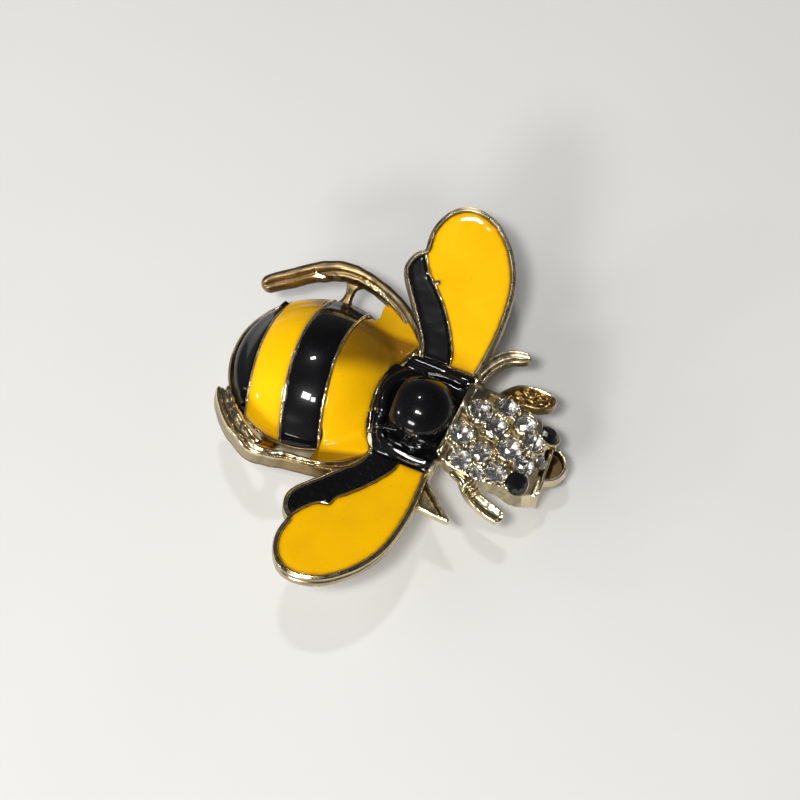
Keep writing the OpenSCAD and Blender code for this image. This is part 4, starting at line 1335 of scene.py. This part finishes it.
def thorax_enamel():
    """The black thorax: its boss stays a true ball, and all round it the enamel has run into soft collars."""
    soft = fused([copy_of("thorax_black", "thorax_enamel")], "thorax_enamel", 0.1, 3)
    p = points_of(soft)
    reach = np.linalg.norm(p - BOSS_CENTRE, axis=1)
    softened(soft, 1.0 * (p[:, 2] > 5.5) * (reach > BOSS_R - 0.2), 40)
    broad = [bead("bead", line, width, height) for line, width, height in COLLARS]
    soft = fused([soft] + broad, "thorax_enamel", 0.09, 8)
    fine = [bead("bead", line, width, height, NEAR_LEAN, FLAT) for line, width, height in FOLDS]
    soft = fused([soft] + fine, "thorax_enamel", 0.075, 2)
    p = points_of(soft)
    rounded_boss(p)
    leaning_crest(p)
    p[:, 1] = np.clip(p[:, 1], -THORAX_HALF_W, THORAX_HALF_W)
    p[:, 0] = np.minimum(p[:, 0], THORAX_FRONT)
    put_points(soft, p)
    marked(soft, "thin", np.zeros(len(p)))
    return smooth(soft, 60)


shown(thorax_enamel(), BLACK, "black_enamel", "thorax_black")


# Head
def head_top(x):
    """The height of the head's top at a place along it."""
    if x < NOSE_X:
        return HEAD_REAR_Z - (x - HEAD_REAR) * math.tan(math.radians(HEAD_PITCH))
    return NOSE_Z - (x - NOSE_X) * (NOSE_Z - FRONT_Z) / (HEAD_FRONT - NOSE_X)


def seat_frame(row):
    """The place and the turn of a stone: its girdle's centre and the matrix that leans it."""
    x = THORAX_FRONT + row[0] * HEAD_LEN
    centre = vec((x, row[1] * HEAD_HALF_W, head_top(x)))
    turn = turned(np.eye(3), x=-row[4], y=row[3]).T
    return centre, turn


def collar(row, width, rise):
    """A thin ring of metal round a stone."""
    centre, turn = seat_frame(row)
    deselect()
    r = row[2] / 2 + width * 0.95
    bpy.ops.mesh.primitive_torus_add(major_radius=r * MM, minor_radius=width * MM, major_segments=48,
                                     minor_segments=12)
    ring = bpy.context.object
    q = points_of(ring)
    q[:, 2] += rise
    put_points(ring, q @ turn.T + centre)
    return ring


def grains():
    """Grains between the stones that lie close to each other."""
    made = []
    rows = STONES + EYES
    centres = [seat_frame(r)[0] for r in rows]
    for i in range(len(rows)):
        for j in range(i):
            apart = centres[i] - centres[j]
            free = np.linalg.norm(apart) - rows[i][2] / 2 - rows[j][2] / 2
            if free > 0.85:
                continue
            along = unit(apart)
            across = unit(np.cross(along, (0, 0, 1)))
            middle = centres[j] + along * (rows[j][2] / 2 + free / 2)
            for sign in (-1, 1):
                place = middle + across * sign * (0.5 + 0.1 * ((i + j) % 3)) + (0, 0, 0.06)
                made.append(grain(place, 0.16 + 0.025 * ((i * 3 + j) % 3)))
    return made


# Bright prongs: place in plan, turn in degrees and how long they are for their width
PRONGS = [
    (7.3, -0.5, 20, 2.2), (6.85, -1.8, 80, 2.4), (7.6, -2.8, 10, 1.8), (9.25, -0.9, 60, 2.4),
    (9.3, -1.6, 75, 2.0), (10.3, -2.0, 65, 2.6), (11.25, -1.1, 80, 3.0), (10.3, 0.7, 40, 1.8),
    (9.65, 0.15, 10, 1.8), (10.3, -4.0, 0, 1.6), (12.95, -2.1, 20, 1.8), (13.65, -4.3, 0, 1.6),
    (12.7, -4.35, 20, 1.6), (8.1, -4.35, 10, 2.2), (6.75, -3.2, 85, 3.0), (12.1, 1.1, 50, 1.6),
    (8.2, 1.0, 45, 1.8), (14.2, 0.6, 30, 1.6),
]


def prong(x, y, turn_z, length):
    """A long grain that stands on the head between the stones."""
    piece = grain((0, 0, 0), 0.16, 1.0)
    q = points_of(piece) * (length, 1.0, 1.0)
    put_points(piece, turned(q, z=turn_z) + (x, y, head_top(x) + 0.16))
    return piece


# The bar over the front cup, and the ridge across the snout by its place in plan
FRONT_BAR = [(16.15, 2.6, 4.1), (16.5, 0.0, 4.12), (16.82, -2.7, 4.1)]
SNOUT_RIDGE = [(NOSE_X + 0.25, -3.0), (NOSE_X - 0.05, -0.3), (NOSE_X - 0.35, 2.5)]


def stone_gap(q):
    """How far each point lies outside the nearest stone, in plan."""
    free = np.full(len(q), 9.0)
    for row in STONES + EYES:
        centre, _ = seat_frame(row)
        free = np.minimum(free, np.hypot(q[:, 0] - centre[0], q[:, 1] - centre[1]) - row[2] / 2)
    return free


def head_setting():
    """The stone-set head with its collars and grains, from the casting."""
    head = copy_of("casting", "head_setting")
    cut_away(head, (HEAD_REAR - 0.08, 0, 0), (-1, 0, 0))
    cut_away(head, (0, 4.93, 0), (0, 1, 0))
    cut_away(head, (0, -4.93, 0), (0, -1, 0))
    parts = [head]
    for index, row in enumerate(STONES):
        parts.append(collar(row, 0.07 if index else 0.1, -0.05 if index else 0.1))
    parts += grains()
    parts += [prong(*row) for row in PRONGS]
    parts.append(bead("front_bar", FRONT_BAR, 0.42, 0.24))
    parts.append(bead("snout_ridge", [(x, y, head_top(x) + 0.02) for x, y in SNOUT_RIDGE], 0.2, 0.14))
    piece = fused(parts, "head_setting", 0.085, 2)
    q = points_of(piece)
    x, y, z = q.T
    free = stone_gap(q)
    tops = np.array([head_top(place) for place in x])
    flange = (x < 8.4) & (y > 1.0)
    field = ~flange & (np.abs(z - tops) < 0.14) & (np.abs(y) < 4.3)
    field = field & (x < NOSE_X) & (x > HEAD_REAR + 0.5)
    z -= field * 0.45 * np.clip((free - 0.22) / 0.25, 0, 1)
    z += 0.02 * unevenness(q, 1.4, 81) * (z > 4.5)
    swell = 0.3 * np.exp(-((x - 7.2) / 0.55) ** 2)
    swell = swell * np.clip((y - 1.6) / 0.8, 0, 1) * np.clip((4.7 - y) / 0.5, 0, 1)
    z += swell * (np.abs(z - tops) < 0.2)
    put_points(piece, q)
    cup = np.hypot(x - 16.2, y - 1.02) < 1.72
    # Painted shade inside the front cup, on the snout's slope and on the near side wall
    shaded_cup = cup & (x > 15.6) & (z < 3.75) & (z > 2.6)
    wall = (y < -3.6) * (x > 10) * wall_share(piece, 0.5)
    slope = 0.7 * np.clip((x - 14.9) / 0.3, 0, 1) * (z > 4.25) * (y < 0.2)
    # The sunk field between the stones is darker and duller
    deep = slope + field * np.clip((free - 0.25) / 0.25, 0, 1) * 0.85 + shaded_cup
    deep = deep + wall * (0.5 + 0.25 * unevenness(q, 1.1, 83))
    marked(piece, "dull", np.clip(deep, 0, 1))
    return smooth(piece, 60)


shown(head_setting(), GILT, "gilt_metal", "casting")


# Stones
def facet_ring(count, shift, angle, girdle, r, up):
    """Cuts a ring of flat facets: planes at the given angle that pass the radius r at the girdle's height."""
    for i in range(count):
        a = (i + shift) * 2 * math.pi / count
        normal = vec((math.cos(a) * math.sin(angle), math.sin(a) * math.sin(angle), up * math.cos(angle)))
        point = vec((math.cos(a) * r, math.sin(a) * r, girdle)) * MM
        bpy.ops.mesh.select_all(action="SELECT")
        bpy.ops.mesh.bisect(plane_co=point, plane_no=normal, use_fill=True, clear_outer=True, threshold=1e-8)


def cut_stone(d, name):
    """A round cut stone: table, star, kite and girdle facets above, two rings of facets below."""
    r = d / 2
    table, point, girdle = 0.2 * d, -0.42 * d, -0.05 * d
    deselect()
    bpy.ops.mesh.primitive_cylinder_add(vertices=32, radius=r * MM, depth=(table - point) * MM,
                                        location=(0, 0, (table + point) / 2 * MM))
    stone = named(bpy.context.object, name)
    bpy.ops.object.transform_apply(location=True)
    bpy.ops.object.mode_set(mode="EDIT")
    crown = math.atan2(table, 0.46 * r)
    facet_ring(8, 0.0, crown, 0.0, r, 1)
    facet_ring(16, 0.5, crown + 0.12, 0.0, r, 1)
    facet_ring(8, 0.5, crown - 0.26, table * 0.72, r * 0.69, 1)
    below = math.atan2(-point - 0.05 * d, r)
    facet_ring(8, 0.0, below, girdle, r, -1)
    facet_ring(16, 0.5, below + 0.07, girdle, r, -1)
    bpy.ops.object.mode_set(mode="OBJECT")
    return stone


def foiled(stone, row, centre, up):
    """Puts the foil on the facets of a stone's underside."""
    stone.data.materials.append(FOIL)
    for face in stone.data.polygons:
        middle = (vec(face.center) / MM - centre) @ up
        if vec(face.normal) @ up < -0.2 and middle < -0.04 * row[2]:
            face.material_index = 1


def set_stones():
    """Sets a cut stone of its own in each seat."""
    cut = {d: cut_stone(d, f"cut_{int(d * 100)}") for d in sorted({r[2] for r in STONES + EYES})}
    targets = [f"stone_{n + 1}" for n in range(len(STONES))] + ["left_eye", "right_eye"]
    for index, (target, row) in enumerate(zip(targets, STONES + EYES)):
        only(cut[row[2]])
        bpy.ops.object.duplicate()
        stone = named(bpy.context.object, f"cut_{target}")
        centre, turn = seat_frame(row)
        q = turned(points_of(stone), z=17.0 * index)
        put_points(stone, q @ turn.T + centre + turn @ vec((0, 0, 0.06)))
        if row in EYES:
            shown(stone, JET, "black_stone", target)
        else:
            shown(stone, CLEAR, "clear_stone", target)
            foiled(stone, row, centre, turn @ vec((0, 0, 1)))
    for template in cut.values():
        bpy.data.objects.remove(template)


set_stones()


# Pin back
def pin_fitting():
    """The hidden pin fitting, with its sharp edges broken."""
    pin = copy_of("pin_back", "pin_fitting")
    opened(pin)
    bpy.ops.mesh.dissolve_limited(angle_limit=math.radians(2))
    bpy.ops.object.mode_set(mode="OBJECT")
    applied(pin, "BEVEL", width=0.12 * MM, segments=3, limit_method="ANGLE", angle_limit=math.radians(40))
    return smooth(pin, 35)


shown(pin_fitting(), BRASS, "pin_metal", "pin_back")


# Floor, light and camera
PHOTO_TURN = 24.7
PHOTO_LIFT = 61.0
PHOTO_WIDTH = 800.0
PHOTO_FOCUS = 2580.0
PHOTO_PLACE = (1.37, -0.02, 258.0)
PHOTO_AIM = (-0.9, 0, 5.6)

DAYLIGHT = (1.0, 0.98, 0.95)

# Lights: name, direction, distance, width and height, power, colour, and whether gloss mirrors it
LIGHTS = [
    ("key", (0.0, -0.46, 0.888), 0.5, (0.085, 0.062), 1.3, DAYLIGHT, True),
    ("key_twin", (0.16, -0.47, 0.868), 0.5, (0.05, 0.045), 0.3, DAYLIGHT, True),
    ("window", (-0.78, -0.52, 0.38), 0.6, (0.9, 0.6), 3.0, (1.0, 0.985, 0.96), False),
    ("low", (-0.1, -0.9, 0.42), 0.5, (0.16, 0.07), 1.1, DAYLIGHT, True),
    ("corner", (-0.8, -0.52, 0.3), 0.5, (0.05, 0.03), 0.25, DAYLIGHT, True),
    ("tip", (-0.19, 0.275, 0.942), 0.5, (0.046, 0.026), 0.4, (1.0, 1.0, 1.0), True),
]


def stage():
    """The pale floor that the brooch lies on."""
    deselect()
    bpy.ops.mesh.primitive_plane_add(size=1.2, location=(0, 0, 0))
    floor = named(bpy.context.object, "floor")
    material, tree, shader = new_material("pale_floor")
    place = node(tree, "ShaderNodeTexCoord").outputs["Object"]
    cloud = noise(tree, place, 30.0, 4.0)
    colour = mixed(tree, cloud, (0.65, 0.65, 0.64), (0.69, 0.69, 0.68))
    fed(tree, shader, {"Base Color": colour, "Roughness": 0.85})
    floor.data.materials.append(material)


def camera():
    """The photograph's view: turned round to the bee's right and lifted above the floor."""
    data = bpy.data.cameras.new("photo_camera")
    data.sensor_width = 36.0
    data.lens = 36.0 * PHOTO_FOCUS / PHOTO_WIDTH
    data.clip_start, data.clip_end = 0.01, 10.0
    cam = bpy.data.objects.new("photo_camera", data)
    bpy.context.scene.collection.objects.link(cam)
    a, e = math.radians(-PHOTO_TURN), math.radians(PHOTO_LIFT)
    flat = Matrix(((math.cos(a), -math.sin(a), 0), (math.sin(a), math.cos(a), 0), (0, 0, 1)))
    lift = Matrix(((1, 0, 0), (0, math.sin(e), math.cos(e)), (0, -math.cos(e), math.sin(e))))
    back = (lift @ flat).transposed()
    cam.location = (back @ Vector(PHOTO_PLACE) + Vector(PHOTO_AIM)) * MM
    cam.rotation_euler = (math.radians(90 - PHOTO_LIFT), 0, math.radians(PHOTO_TURN))
    bpy.context.scene.camera = cam


def studio_air():
    """A dim room round the brooch, darkest overhead, so that gloss stays deep."""
    world = bpy.data.worlds.new("studio")
    bpy.context.scene.world = world
    world.use_nodes = True
    tree = world.node_tree
    place = node(tree, "ShaderNodeTexCoord").outputs["Generated"]
    split = fed(tree, node(tree, "ShaderNodeSeparateXYZ"), {0: place})
    share = ranged(tree, split.outputs["Z"], 0.05, 0.6)
    colour = mixed(tree, share, (0.15, 0.155, 0.155), (0.035, 0.035, 0.037))
    fed(tree, tree.nodes["Background"], {"Color": colour, "Strength": 1.0})


def soft_light(name, direction, distance, size, power, colour, mirrored_in_gloss):
    """A soft square light that looks at the brooch."""
    data = bpy.data.lights.new(name, "AREA")
    data.shape = "RECTANGLE"
    data.size, data.size_y = size
    data.energy = power
    data.color = colour
    light = bpy.data.objects.new(name, data)
    bpy.context.scene.collection.objects.link(light)
    direction = Vector(direction).normalized()
    light.location = direction * distance
    light.rotation_mode = "QUATERNION"
    light.rotation_quaternion = direction.to_track_quat("Z", "Y")
    light.visible_glossy = mirrored_in_gloss


stage()
camera()
studio_air()
for row in LIGHTS:
    soft_light(*row)
bpy.context.scene.view_settings.view_transform = "Standard"
